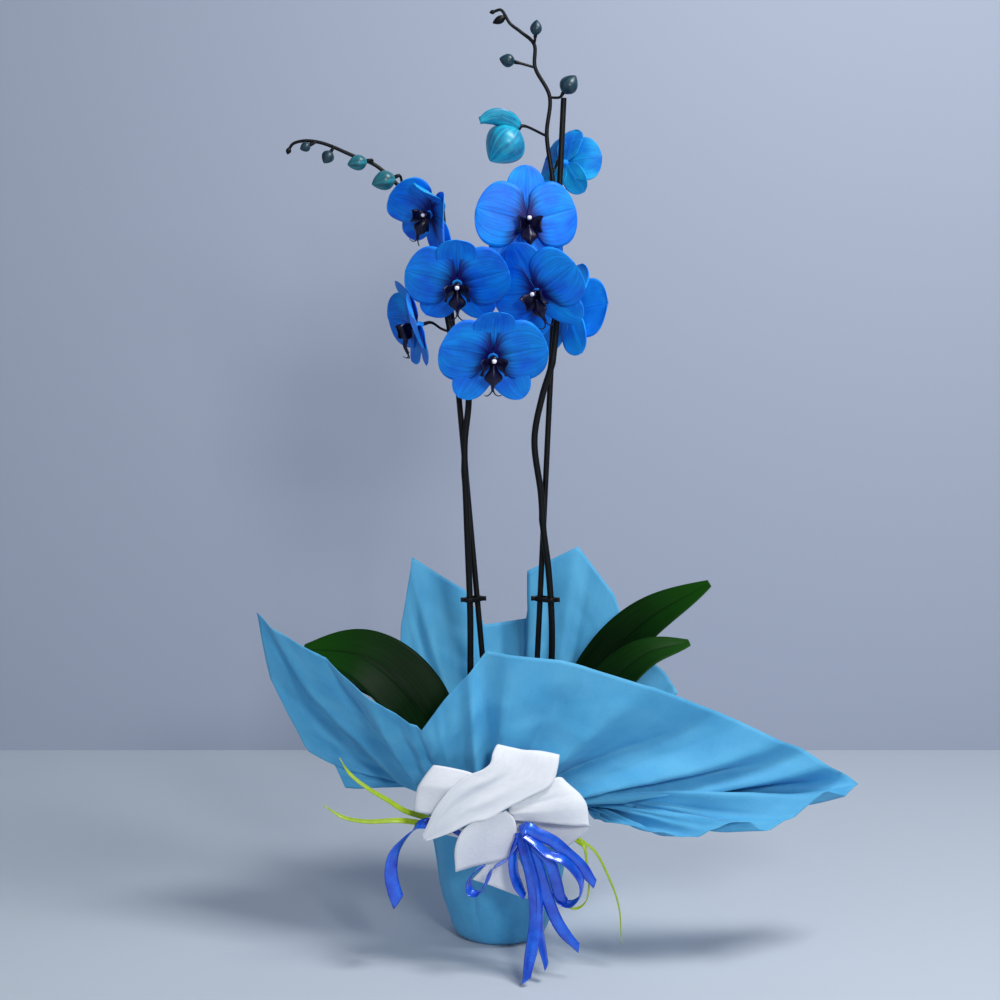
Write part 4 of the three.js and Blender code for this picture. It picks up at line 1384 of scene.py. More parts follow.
BUD_STALKS = {
    "bud_left_1": (-82, -5.5, 650),
    "bud_left_2": (-108, -9.5, 672),
    "bud_left_3": (-141, -14.3, 686),
    "bud_left_4": (-155, -15.8, 690),
    "bud_right_1": (41.8, 0, 728),
    "bud_right_2": (28.8, 0, 753),
    "bud_right_3": (28.6, 0, 772),
    "bud_right_opening": (39.8, 0, 696),
}
STAKES = {
    "left": ((4.6, 7, 20), (-50.3, 7, 643)),
    "right": ((22.8, 7, 20), (54, 7, 728.5)),
}


@dataclass
class Stems:
    """Flower spikes with their pedicels, the stakes beside them and the clips that hold each pair."""

    palette: Palette
    stem_radius: float = 2.8
    stem_rings: int = 220
    node_places: tuple[float, ...] = (0.16, 0.33, 0.5)
    node_rise: float = 0.5
    pedicel_radius: float = 1.4
    stake_radius: float = 2.5
    clip_z: float = 297
    clip_height: float = 4
    clip_wall: float = 1.6
    clip_slack: float = 0.6
    clip_edge: float = 0.3
    tab_length: float = 3.6
    tab_width: float = 1.8

    def stalk(self, name: str, points: Sequence[Triple]) -> bpy.types.Object:
        """A pedicel that widens a little at its far end."""
        radius = self.pedicel_radius
        return rod(name, Path(points, 60), lambda u: radius * mix(0.8, 1.2, ease(0.6, 1, u)), 16, 10)

    def bloom_stalk(self, bloom: Bloom) -> bpy.types.Object:
        """The pedicel of a bloom.

        Args:
            bloom: the bloom that it carries.

        Returns:
            The closed pedicel.
        """
        place = Blossom(bloom, self.palette).frame()
        centre, out = place.translation / MM, Vector(bloom.face).normalized()
        away = centre - out * 15 * bloom.scale
        end = centre - out * 7.7 * bloom.scale
        points = [*BLOOM_STALKS[bloom.name], tuple(away), tuple(end)]
        return self.stalk(bloom.name + "_stalk", points)

    def bud_stalk(self, bud: Bud) -> bpy.types.Object:
        """The pedicel of a bud.

        Args:
            bud: the bud that it carries.

        Returns:
            The closed pedicel.
        """
        out = Vector(bud.axis).normalized()
        near = Vector(bud.base) + out * 0.3
        return self.stalk(bud.name + "_stalk", [BUD_STALKS[bud.name], tuple(near - out * 4.3), tuple(near)])

    def radius(self, u: float) -> float:
        """The stem's radius, thinner to its tip and swollen at its nodes.

        Args:
            u: the share of the way.

        Returns:
            The radius in millimetres.
        """
        taper = mix(1, 0.6, ease(0.5, 0.72, u)) * mix(1, 0.75, ease(0.72, 1, u))
        gaps = [(u - place) / 0.006 for place in self.node_places]
        swelling = sum(self.node_rise * math.exp(-(gap**2)) for gap in gaps)
        return self.stem_radius * taper + swelling

    def spike(self, spike: Spike) -> bpy.types.Object:
        """One stem with its pedicels and tip buds.

        Args:
            spike: which one.

        Returns:
            The joined stem.
        """
        path = Path(spike.stem)
        stem = rod(f"spike_{spike.side}", path, self.radius, self.stem_rings, 14, by_points=True)
        parts = [stem, *(self.bloom_stalk(bloom) for bloom in BLOOMS if spike.side in bloom.name)]
        parts += [self.bud_stalk(bud) for bud in (*BUDS, OPENING) if f"bud_{spike.side}" in bud.name]
        parts += [bud_body(bud, 10, 12) for bud in TIP_BUDS[spike.side]]
        return joined(f"flower_stem_{spike.side}", parts)

    def stake(self, side: str) -> bpy.types.Object:
        """A straight cane with flat ends, slightly worn at its top."""
        return rod(f"cane_{side}", Path(STAKES[side], 8), self.stake_width, 160, 16)

    def stake_width(self, u: float) -> float:
        """The cane's radius at a share of its length."""
        return self.stake_radius * (0.96 if u > 0.994 else 1.0)

    def clip(self, spike: Spike) -> bpy.types.Object:
        """A band round stem and stake with a tab at each end.

        Args:
            spike: the stem that it holds.

        Returns:
            The closed clip.
        """
        middle = self.clip_z + self.clip_height / 2
        stem = next(p for p in Path(spike.stem, 800).dense if p.z >= middle)
        foot, tip = (Vector(p) for p in STAKES[spike.side])
        cane = foot.lerp(tip, (middle - foot.z) / (tip.z - foot.z))
        along = math.atan2(cane.y - stem.y, cane.x - stem.x)
        reach = self.stem_radius + self.clip_slack + self.clip_wall / 2

        def point(u: float, v: float) -> Vector:
            """The band at (up, round): half round the stem and half round the cane.

            Args:
                u: the share up.
                v: the share of a turn.

            Returns:
                The place in millimetres.
            """
            turn = 2 * math.pi * v
            centre = stem if math.cos(turn) < 0 else cane
            spot = centre + Vector((math.cos(turn + along), math.sin(turn + along), 0)) * reach
            return spot.to_2d().to_3d() + UP * (self.clip_z + self.clip_height * u)

        parts = [thicken(shaped_grid("clip_band", point, 2, 48, ring=True), self.clip_wall)]
        for end, hand in ((stem, -1), (cane, 1)):
            hand = hand if stem.x < cane.x else -hand
            deselect()
            spot = (end.x + hand * (reach + self.tab_length / 2 + 0.2), end.y, middle)
            bpy.ops.mesh.primitive_cube_add(size=1, location=[c * MM for c in spot])
            tab = bpy.context.object
            tab.scale = (self.tab_length * MM, self.tab_width * MM, self.clip_height * MM)
            bpy.ops.object.transform_apply(location=True, rotation=True, scale=True)
            parts.append(tab)
        clip = joined(f"clip_{spike.side}", parts)
        bevel = clip.modifiers.new("edge", "BEVEL")
        bevel.width = self.clip_edge * MM
        bevel.segments = 2
        bevel.limit_method = "ANGLE"
        return apply_all(clip)

    def build(self) -> None:
        """Makes stems, stakes and clips and puts them in place."""
        for spike in SPIKES:
            settle(paint(self.spike(spike), self.palette.stem), "stem", f"flower_spike_{spike.side}")
            stake = paint(self.stake(spike.side), self.palette.stake)
            settle(stake, "stake", f"stake_{spike.side}", angle=40)
            settle(paint(self.clip(spike), self.palette.clip), "clip", f"stem_clip_{spike.side}", angle=40)


# Leaves


@dataclass(frozen=True)
class Leaf:
    """A leaf: its midrib, where its upper face looks, and its width."""

    name: str
    rib: tuple[Triple, ...]
    face: Triple
    width: float


LEAVES = (
    Leaf("leaf_left_upper",
         ((3.1, -3.6, 108), (-14, -9, 112), (-42, -22, 156), (-78, -24, 220), (-118, -18, 252),
          (-170, -14, 258)),
         (0.15, -0.72, 0.68), 60),
    Leaf("leaf_left_lower",
         ((7, 9.5, 102.5), (1, 25, 105.5), (-36, 34, 146), (-84, 28, 200), (-124, 22, 222),
          (-164, 12, 226)),
         (0.1, -0.35, 0.94), 54),
    Leaf("leaf_right_upper",
         ((14, 8.4, 107), (21, 26, 112), (52, 30, 160), (87, 23, 230), (127, 20, 275), (185, 20, 310)),
         (-0.35, -0.75, 0.56), 44),
    Leaf("leaf_right_lower",
         ((19.5, -4, 105), (38, -13, 122), (68, -18, 174), (93, -18, 224), (126, -12, 253),
          (165, -4, 262)),
         (-0.25, -0.68, 0.68), 40),
    Leaf("leaf_back_young",
         ((10, 9.6, 116), (10, 16, 128), (8, 24, 160), (2, 34, 190), (-6, 48, 212), (-16, 64, 222)),
         (0.1, -0.9, 0.4), 34),
)


@dataclass
class Foliage:
    """The plant's leaves."""

    palette: Palette
    rows: int = 64
    columns: int = 20
    thickness: float = 1.5
    groove_depth: float = 1.1
    groove_width: float = 1.6
    channel: float = 0.3
    wave: float = 1.2

    @staticmethod
    def breadth(t: float) -> float:
        """Half the breadth of a leaf at t along it, as a share."""
        body = max(0.0, math.sin(math.pi * (0.08 + 0.9 * t) ** 1.6)) ** 0.8
        return max(body, mix(0.26, 0, t * 3), 0.02)

    def leaf(self, leaf: Leaf) -> bpy.types.Object:
        """A channelled blade with a groove at its midrib and a slightly wavy edge.

        Args:
            leaf: its form.

        Returns:
            The closed blade.
        """
        path = Path(leaf.rib)
        face = Vector(leaf.face).normalized()

        def point(u: float, v: float) -> Vector:
            """The blade before it gets its wall.

            Args:
                u: the share along it.
                v: the share across it.

            Returns:
                The place in millimetres.
            """
            t = 1 - (1 - u) ** 1.25
            upper = UP.lerp(face, min(1.0, t * 2.2))
            way = path.heading(t)
            side = upper.cross(way).normalized()
            across = (2 * v - 1) * leaf.width / 2 * self.breadth(t)
            dent = math.exp(-((across / self.groove_width) ** 2))
            groove = -self.groove_depth * dent * min(1.0, 3 * (1 - t))
            wave = self.wave * abs(2 * v - 1) ** 2 * math.sin(7 * t + 3 * v + leaf.width)
            rise = self.channel * abs(across) * (1 - 0.6 * t) + groove + wave
            return path.at(t) + side * across + way.cross(side) * rise

        piece = shaped_grid(leaf.name + "_blade", point, self.rows, self.columns)
        paint(piece, self.palette.leaf_back, self.palette.leaf)
        return thicken(piece, self.thickness, back_slot=1)

    def build(self) -> None:
        """Makes each leaf and puts it in place."""
        for leaf in LEAVES:
            settle(self.leaf(leaf), "leaf", leaf.name)


# Pot, bark and crown


# Profiles of (radius, height), and the aerial roots' middle lines
POT = (
    (0, 1.1), (31.2, 1.1), (32, 1.9), (54.9, 102.6), (57.1, 103.2), (57.5, 103.8), (57.5, 110.6),
    (57.1, 111.1), (56.6, 111.1), (56.3, 110.6), (56.3, 105.1), (53.8, 104.2), (30.8, 2.6), (0, 2.3),
)
FILLING = ((0, 3), (29.6, 3), (50.2, 93), (48, 95), (34, 95.5), (18, 96), (0, 96))
ROOTS = (
    ((10, -4, 104.5), (3, -18, 105), (-20, -30, 104.5), (-28, -32, 105)),
    ((13, -2, 110), (20, -20, 111), (26, -38, 107), (20, -44, 108)),
)


@dataclass
class Rootball:
    """The grower's pot, its bark filling and the crown with aerial roots."""

    palette: Palette
    seed: int = 11
    chips: int = 150
    chip_reach: float = 43
    chip_heights: tuple[float, float] = (95.5, 98)
    chip_sizes: tuple[float, float] = (8, 14)
    chip_edge: float = 0.14
    crown_x: float = 11
    crown_radius: float = 8
    crown_clear: float = 13
    root_radius: float = 2.4
    chance: random.Random = field(init=False)

    def __post_init__(self) -> None:
        """Seeds the draw that chips are strewn with."""
        self.chance = random.Random(self.seed)

    def pot(self) -> bpy.types.Object:
        """A thin moulded pot with a stepped rim."""
        return turned("nursery_pot", POT, 96)

    def chip(self, spot: Vector, size: float) -> bpy.types.Object:
        """One bark chip: a bevelled slab turned at random.

        Args:
            spot: where its middle lies.
            size: its length in millimetres.

        Returns:
            The chip in its place.
        """
        deselect()
        bpy.ops.mesh.primitive_cube_add(size=1)
        chip = bpy.context.object
        bevel = chip.modifiers.new("worn", "BEVEL")
        bevel.width = self.chip_edge
        bevel.segments = 1
        apply_all(chip)
        chance = self.chance
        shares = (1.0, chance.uniform(0.5, 0.8), chance.uniform(0.25, 0.4))
        shape = Matrix.Diagonal((*(size * share for share in shares), 1.0))
        for vertex in chip.data.vertices:
            vertex.co += Vector([chance.uniform(-0.05, 0.05) for _ in range(3)])
        axis = [chance.uniform(-1, 1) for _ in range(3)]
        turn = Quaternion(axis, chance.uniform(0.1, 0.8)).to_matrix().to_4x4()
        spin = Matrix.Rotation(chance.uniform(0, 2 * math.pi), 4, "Z")
        chip.data.transform(Matrix.Scale(MM, 4) @ Matrix.Translation(spot) @ spin @ turn @ shape)
        return chip

    def bark(self) -> bpy.types.Object:
        """A filling up to below the rim, covered with chips except where the crown stands.

        Returns:
            The joined bark.
        """
        pieces = [turned("bark_filling", FILLING, 48)]
        chance = self.chance
        for _ in range(self.chips):
            reach = self.chip_reach * math.sqrt(chance.random())
            turn = chance.uniform(0, 2 * math.pi)
            height = chance.uniform(*self.chip_heights)
            spot = Vector((reach * math.cos(turn), reach * math.sin(turn), height))
            if (spot.to_2d() - Vector((self.crown_x, 0))).length > self.crown_clear:
                pieces.append(self.chip(spot, chance.uniform(*self.chip_sizes)))
        return joined("bark_chips", pieces)

    def crown(self) -> bpy.types.Object:
        """A short ringed stem with aerial roots that lie on the bark.

        Returns:
            The joined crown.
        """
        rings = [(0, 74), (self.crown_radius, 74)]
        rings += [(self.crown_radius + 0.35 * math.sin(z * 1.1), z) for z in range(76, 122, 2)]
        rings += [(6.8, 124), (4.6, 128), (0, 129)]
        stem = turned("crown_stem", rings, 28)
        stem.data.transform(Matrix.Translation(Vector((self.crown_x, 0, 0)) * MM))
        roots = [
            rod(f"root_{i}", Path(route), lambda u: self.root_radius - 0.8 * u, 30, 12)
            for i, route in enumerate(ROOTS)
        ]
        return joined("crown_and_roots", [stem, *roots])

    def build(self) -> None:
        """Makes pot, bark and crown and puts them in place."""
        settle(paint(self.pot(), self.palette.pot), "pot", "grower_pot", angle=35)
        settle(paint(self.bark(), self.palette.bark), "bark", "bark_mix", angle=25)
        settle(paint(self.crown(), self.palette.root), "crown", "crown")


# Wrap


@dataclass(frozen=True)
class Fold:
    """A fold of the skirt: its direction at the waist in degrees, where it ends and how far it sags."""

    angle: float
    end: Triple
    sag: float


FOLDS = tuple(
    Fold(*row)
    for row in (
        (-112, (-46, -80, 229), 2), (-97, (-11, -78, 270), 3), (-84, (50, -85, 263), 6),
        (-74, (127, -80, 240), 10), (-66, (198, -66, 207), 14), (-59, (256, -52, 180), 16),
        (-53, (308, -40, 146), 12), (-47, (276, -70, 146), 6), (-41, (225, -95, 122), 4),
        (-36, (196, -97, 129), 2), (-30, (164, -100, 117), 4), (-22, (122, -95, 121), 2),
        (-13, (84, -62, 124), 0), (0, (88, -6, 138), 0), (9, (128, 20, 168), 3),
        (18, (162, 50, 204), 6), (27, (150, 60, 222), 4), (36, (120, 68, 245), 3),
        (46, (105, 80, 290), 4), (57, (72, 90, 333), 4), (69, (25, 92, 310), 2),
        (80, (24, 100, 264), 4), (91, (-15, 100, 258), 4), (103, (-33, 95, 292), 2),
        (116, (-81, 90, 323), 4), (129, (-90, 76, 262), 6), (140, (-88, 26, 131), 2),
        (150, (-138, 14, 127), 3), (160, (-147, 14, 148), 4), (168, (-173, 10, 166), 6),
        (176, (-202, 2, 228), 10), (184, (-210, -10, 290), 16), (193, (-170, -30, 265), 12),
        (204, (-139, -45, 245), 8), (217, (-95, -62, 218), 4), (232, (-66, -76, 201), 2),
    )
)
# The cup from its foot to the waist: height, radius and depth of its pleats
CUP = ((0, 35, 0), (5, 41.5, 0.3), (30, 49, 0.8), (81, 57, 1), (107, 62, 0.9), (117, 62, 0.6))
WAIST_Z, WAIST_RADIUS = CUP[-1][:2]
# From the flat sheet's centre to its corner, in metres
SHEET_REACH = 0.42
# Deep creases of the front: place among the folds, height outwards, width and drift to the edge
FRONT_CREASES = (
    (0.6, 7.0, 0.16, 0.0), (1.3, 11.0, 0.2, 0.0), (1.95, -10.0, 0.2, 0.4), (2.5, 9.0, 0.16, 0.6),
    (3.2, -20.0, 0.3, 0.9), (4.1, 11.0, 0.18, 0.8), (4.7, -12.0, 0.2, 0.6), (5.2, 15.0, 0.2, 0.3),
    (5.7, -11.0, 0.18, 0.2), (6.1, 9.0, 0.16, 0.0), (6.5, -18.0, 0.2, 0.0), (7.1, 13.0, 0.2, 0.0),
    (7.6, -8.0, 0.14, 0.0), (8.2, -11.0, 0.12, 0.0), (9.2, 8.0, 0.18, 0.0),
    (31.4, 10.0, 0.18, 0.0), (32.6, -12.0, 0.2, 0.0), (33.7, 10.0, 0.18, 0.0), (34.8, -8.0, 0.18, 0.0),
)


@dataclass
class Wrapping:
    """The non-woven wrap: one sheet under and round the pot, gathered at the waist and flared above it."""

    palette: Palette
    floor_rows: int = 4
    cup_rows: int = 26
    skirt_rows: int = 70
    steps: int = 12
    wall: float = 0.5
    lift_off: float = 0.25
    large_crumple: float = 8.0
    small_crumple: float = 3.0
    gather_depth: float = 1.5
    upright_fold: float = 3.2
    cup_crumple: float = 4.4
    seed: int = 5
    cache: dict[tuple[int, float], Vector] = field(default_factory=dict)
    creases: list[tuple[float, ...]] = field(default_factory=list)

    def __post_init__(self) -> None:
        """Strews creases round the skirt and adds the deep ones of its front wing."""
        chance = random.Random(self.seed)
        for index in range(2 * len(FOLDS)):
            place = index / 2 + chance.uniform(-0.12, 0.12)
            height = chance.uniform(2.4, 6.0) * (1 if index % 2 else -1)
            self.creases.append((place, height, chance.uniform(0.12, 0.24), chance.uniform(-0.5, 0.5)))
        self.creases += FRONT_CREASES

    def fold_point(self, index: int, s: float) -> Vector:
        """A place on a fold's middle line.

        Args:
            index: which fold.
            s: 0 at the waist and 1 at its end.

        Returns:
            The place in millimetres.
        """
        key = (index % len(FOLDS), s)
        if key not in self.cache:
            fold = FOLDS[key[0]]
            turn = math.radians(fold.angle)
            outward = Vector((math.cos(turn), math.sin(turn), 0))
            waist = outward * WAIST_RADIUS + UP * WAIST_Z
            tip = Vector(fold.end)
            span = (tip - waist).length
            leave = waist + outward * span * 0.1 + UP * (span * 0.2 + 4)
            arrive = tip.lerp(waist, 0.42) + outward * fold.sag * 0.7 - UP * fold.sag
            t = s**1.15
            a, b = waist.lerp(leave, t), leave.lerp(arrive, t)
            c = arrive.lerp(tip, t)
            self.cache[key] = a.lerp(b, t).lerp(b.lerp(c, t), t)
        return self.cache[key]

    def skirt_point(self, s: float, turn: float) -> Vector:
        """The skirt between its folds: round near the waist and straight at its edge.

        Args:
            s: 0 at the waist and 1 at the edge.
            turn: the share of a turn.

        Returns:
            The place in millimetres.
        """
        place = turn * len(FOLDS)
        k, f = int(place), place - int(place)
        p0, p1, p2, p3 = (self.fold_point(k + i, s) for i in (-1, 0, 1, 2))
        straight = p1.lerp(p2, f)
        bent = (p2 - p0) * f + (p0 * 2 - p1 * 5 + p2 * 4 - p3) * f**2 + (p1 * 3 - p0 - p2 * 3 + p3) * f**3
        return straight.lerp(p1 + bent / 2, 0.85 * (1 - s**3))

    def relief(self, s: float, turn: float) -> float:
        """How far creases and crumples lift the skirt off its smooth form, in millimetres.

        Args:
            s: 0 at the waist and 1 at the edge.
            turn: the share of a turn.

        Returns:
            The lift, positive inwards.
        """
        count = len(FOLDS)
        place = turn * count
        lift = 0.0
        for at, height, width, drift in self.creases:
            gap = place - at - drift * (s - 0.3)
            gap = abs(gap - count * round(gap / count))
            breadth = width * (0.7 + 0.9 * s)
            if gap < 6 * breadth:
                lift += height * math.exp(-gap / breadth)
        lift *= ease(0.03, 0.3, s) * (1 - 0.55 * ease(0.75, 1, s))
        angle = self.angle_at(place % count)
        flat = Vector((math.cos(angle), math.sin(angle), 0)) * s
        long_flat = Vector((math.cos(angle) * 5, math.sin(angle) * 5, 0.9 * s + self.seed))
        crumple = self.large_crumple * (noise.voronoi(long_flat)[0][0] - 0.4)
        crumple += self.small_crumple * (noise.voronoi(flat * 8.0 + UP * (self.seed + 2))[0][0] - 0.45)
        gathers = self.gather_depth * math.sin(46 * angle + 3 * roughened(flat * 6, 1.0))
        gathers *= (1 - ease(0, 0.4, s)) * ease(0, 0.05, s)
        return -(lift + gathers + crumple * ease(0.06, 0.35, s) * (1 - 0.5 * ease(0.8, 1, s)))

    def angle_at(self, place: float) -> float:
        """The direction of a place between folds.

        Args:
            place: the number of the fold before it and the share of the way to the next.

        Returns:
            The direction in radians.
        """
        k, f = int(place) % len(FOLDS), place - int(place)
        first, second = FOLDS[k].angle, FOLDS[(k + 1) % len(FOLDS)].angle
        return math.radians(mix(first, second + (360 if second < first else 0), f))

    def cup_point(self, height: float, angle: float) -> Vector:
        """The cup: upright pleats that deepen to the waist, with slack creases between them.

        Args:
            height: the height above the foot.
            angle: the direction in radians.

        Returns:
            The place in millimetres.
        """
        rows = [row for row in CUP if row[0] <= height] or [CUP[0]]
        low = rows[-1]
        high = CUP[min(CUP.index(low) + 1, len(CUP) - 1)]
        share = (height - low[0]) / ((high[0] - low[0]) or 1)
        radius, pleat = mix(low[1], high[1], share), mix(low[2], high[2], share)
        round_pot = Vector((math.cos(angle) * 60, math.sin(angle) * 60, height * 0.45))
        drift = 0.25 * roughened(round_pot, 40, 4.0) + 0.12 * math.sin(height * 0.03)
        upright = self.upright_fold * abs(math.sin(6.5 * (angle + drift))) - 1.8
        crumple = self.cup_crumple * (noise.voronoi(round_pot / 26)[0][0] - 0.45)
        slack = upright * ease(4, 60, height) + crumple * ease(2, 20, height)
        slack *= 1 - ease(95, 108, height)
        reach = radius + pleat * math.cos(10 * angle) + slack
        return Vector((reach * math.cos(angle), reach * math.sin(angle), height + self.lift_off))

    def point(self, u: float, v: float) -> Vector:
        """The sheet's middle surface.

        Args:
            u: the share from the middle of its foot to its edge.
            v: the share of a turn.

        Returns:
            The place in millimetres.
        """
        row = round(u * (self.floor_rows + self.cup_rows + self.skirt_rows))
        place = v * len(FOLDS)
        angle = self.angle_at(place) if v < 1 else self.angle_at(0) + 2 * math.pi
        if row <= self.floor_rows:
            reach = CUP[0][1] * row / self.floor_rows
            return Vector((reach * math.cos(angle), reach * math.sin(angle), self.lift_off))
        if row <= self.floor_rows + self.cup_rows:
            return self.cup_point(WAIST_Z * (row - self.floor_rows) / self.cup_rows, angle)
        s = (row - self.floor_rows - self.cup_rows) / self.skirt_rows
        return raised(self.skirt_point, self.relief)(s, v % 1)

    def build(self) -> None:
        """Makes the sheet and puts it in place."""
        total = self.floor_rows + self.cup_rows + self.skirt_rows
        sheet = shaped_grid("wrap_sheet", self.point, total, len(FOLDS) * self.steps, ring=True)
        self.lay_flat(sheet)
        paint(sheet, self.palette.wrap)
        thicken(sheet, self.wall)
        settle(sheet, "wrap", "wrap")

    @staticmethod
    def lay_flat(sheet: bpy.types.Object) -> None:
        """Turns the UV map into metres of the flat sheet, measured from its centre.

        Args:
            sheet: the sheet before it gets its wall.
        """
        for entry in sheet.data.uv_layers["UVMap"].data:
            reach, turn = entry.uv.y * SHEET_REACH, entry.uv.x * 2 * math.pi
            entry.uv = (reach * math.cos(turn), reach * math.sin(turn))


# Bow, tie, ribbons and grass


@dataclass(frozen=True)
class Band:
    """A flat ribbon or blade of grass: its path and the directions of its width."""

    path: tuple[Triple, ...]
    sides: tuple[Triple, ...]


# The bow's edges, from its knot outwards or from end to end: a loop comes back behind itself
SASH = (
    ((-65, -97, 117), (-60, -99, 128), (-54, -101, 142), (-42, -103, 158), (-28, -104, 170),
     (-14, -104, 176),
     (-8, -103, 181), (-6, -101, 189), (-2, -96, 195), (2, -88, 186), (0, -85, 166), (-8, -87, 148)),
    ((-62, -97, 113), (-51, -99, 117), (-38, -102, 123), (-23, -104, 131), (-10, -105, 134),
     (5, -105, 143),
     (25, -104, 153), (43, -102, 163), (49, -96, 186), (46, -88, 175), (29, -85, 156), (8, -87, 143)),
)
LEFT_LOOP = (
    ((-3, -96, 147), (-10, -97, 162), (-22, -95, 170), (-37, -94, 174), (-55, -91, 176),
     (-52, -84, 171),
     (-33, -82, 163), (-13, -84, 153), (-3, -88, 144)),
    ((-5, -96, 140), (-16, -98, 148), (-37, -98, 154), (-54, -97, 157), (-69, -92, 157),
     (-66, -84, 153),
     (-42, -82, 148), (-17, -84, 143), (-5, -88, 138)),
    ((-6, -96, 134), (-22, -97, 133), (-41, -95, 135), (-57, -94, 135), (-71, -91, 137),
     (-68, -84, 137),
     (-46, -82, 134), (-21, -84, 132), (-6, -88, 132)),
)
RIGHT_LOOP = (
    ((7, -99, 149), (29, -100, 158), (47, -99, 168), (52, -95, 166), (52, -89, 159), (33, -86, 148),
     (7, -88, 140)),
    ((7, -101, 141), (33, -103, 145), (59, -101, 150), (69, -95, 147), (62, -89, 141),
     (38, -86, 135), (7, -88, 134)),
    ((7, -99, 132), (33, -100, 130), (62, -99, 127), (74, -95, 125), (65, -89, 113), (50, -86, 103),
     (12, -88, 120)),
)
FRONT_TAIL = (
    ((-15, -103, 136), (-30, -102, 125), (-37, -101, 110), (-37, -98, 87)),
    ((5, -103, 141), (12, -102, 133), (14, -101, 119), (13, -98, 101)),
)
LOW_TAIL = (
    ((-6, -92, 134), (-5, -91, 108), (-13, -91, 90), (-23, -90, 78)),
    ((7, -92, 134), (10, -91, 108), (19, -91, 88), (24, -90, 61)),
)
STRAP = ((-2, -66.5, 108), (-3, -74, 114), (-4, -86, 132))
STRANDS = (
    Band(((17, -107, 124), (20, -110, 110), (25, -112, 92), (28, -113, 73), (29, -116, 52),
          (26, -121, 30),
          (21, -129, 2)), ((1, 0, 0),)),
    Band(((21, -106, 121), (28, -109, 99), (33, -111, 76), (34, -114, 40), (39, -119, 11)),
          ((1, 1.2, 0),)),
    Band(((20, -107, 121), (31, -109, 95), (40, -110, 66), (50, -111, 44), (67, -113, 25)),
          ((1, 0, 0.5),)),
    Band(((16, -107, 125), (22, -109, 128), (31, -109, 123), (44, -107, 116), (55, -106, 106),
          (67, -104, 94),
          (80, -101, 76)), ((0.6, 0.2, 1),)),
    Band(((20, -108, 123), (30, -111, 117), (40, -113, 108), (52, -114, 103), (62, -113, 93),
          (68, -111, 82),
          (67, -108, 69), (59, -106, 62), (49, -105, 65), (44, -106, 74)), ((0.5, 1, 0.5),)),
    Band(((20, -106, 120), (33, -108, 109), (41, -108, 99), (46, -108, 84), (50, -107, 70),
          (56, -104, 62)),
         ((1, 0.3, 0.4),)),
    Band(((17, -106, 120), (13, -108, 110), (7, -110, 102), (-6, -112, 94), (-11, -112, 82),
          (-17, -110, 72),
          (-25, -108, 73), (-26, -107, 83), (-19, -106, 92), (-12, -105, 96)), ((0.6, 1, 0.3),)),
    Band(((17, -105, 120), (11, -107, 99), (14, -108, 83), (21, -110, 69)), ((1, 0.8, 0),)),
)
LEFT_STRAND = Band(
    ((-34, -58.4, 107), (-46, -73, 119), (-57, -87, 126), (-67, -93, 125), (-77, -97, 117),
     (-87, -99, 103),
     (-90, -99, 86), (-88, -98, 72), (-83, -97, 57)),
    ((0, 0.3, 1), (0.6, 0.8, 0.3), (1, 0.3, 0)),
)
GRASS = {
    "grass_left": (
        Band(((-42.8, -52.3, 108), (-62, -68, 124), (-80, -80, 134), (-94, -86, 145), (-111, -90, 157),
              (-125, -90, 169), (-133, -90, 182)), ((0.2, 0.5, 0.8),)),
        Band(((-42.8, -52.3, 108), (-62, -70, 119), (-83, -88, 128), (-111, -94, 129), (-130, -95, 133),
              (-146, -95, 143)), ((0, 0.4, 0.9),)),
    ),
    "grass_right": (
        Band(((42.8, -52.3, 108), (56, -66, 111), (66, -80, 108), (71, -86, 105), (73, -88, 91),
              (75, -90, 73),
              (71, -92, 58), (63, -94, 54), (49, -96, 60)), ((0.3, 0.8, 0.3),)),
        Band(((42.8, -52.3, 108), (57, -67, 113), (68, -78, 109), (80, -82, 100), (91, -86, 80),
              (100, -88, 54),
              (102, -90, 22)), ((0.3, 1, 0),)),
    ),
}


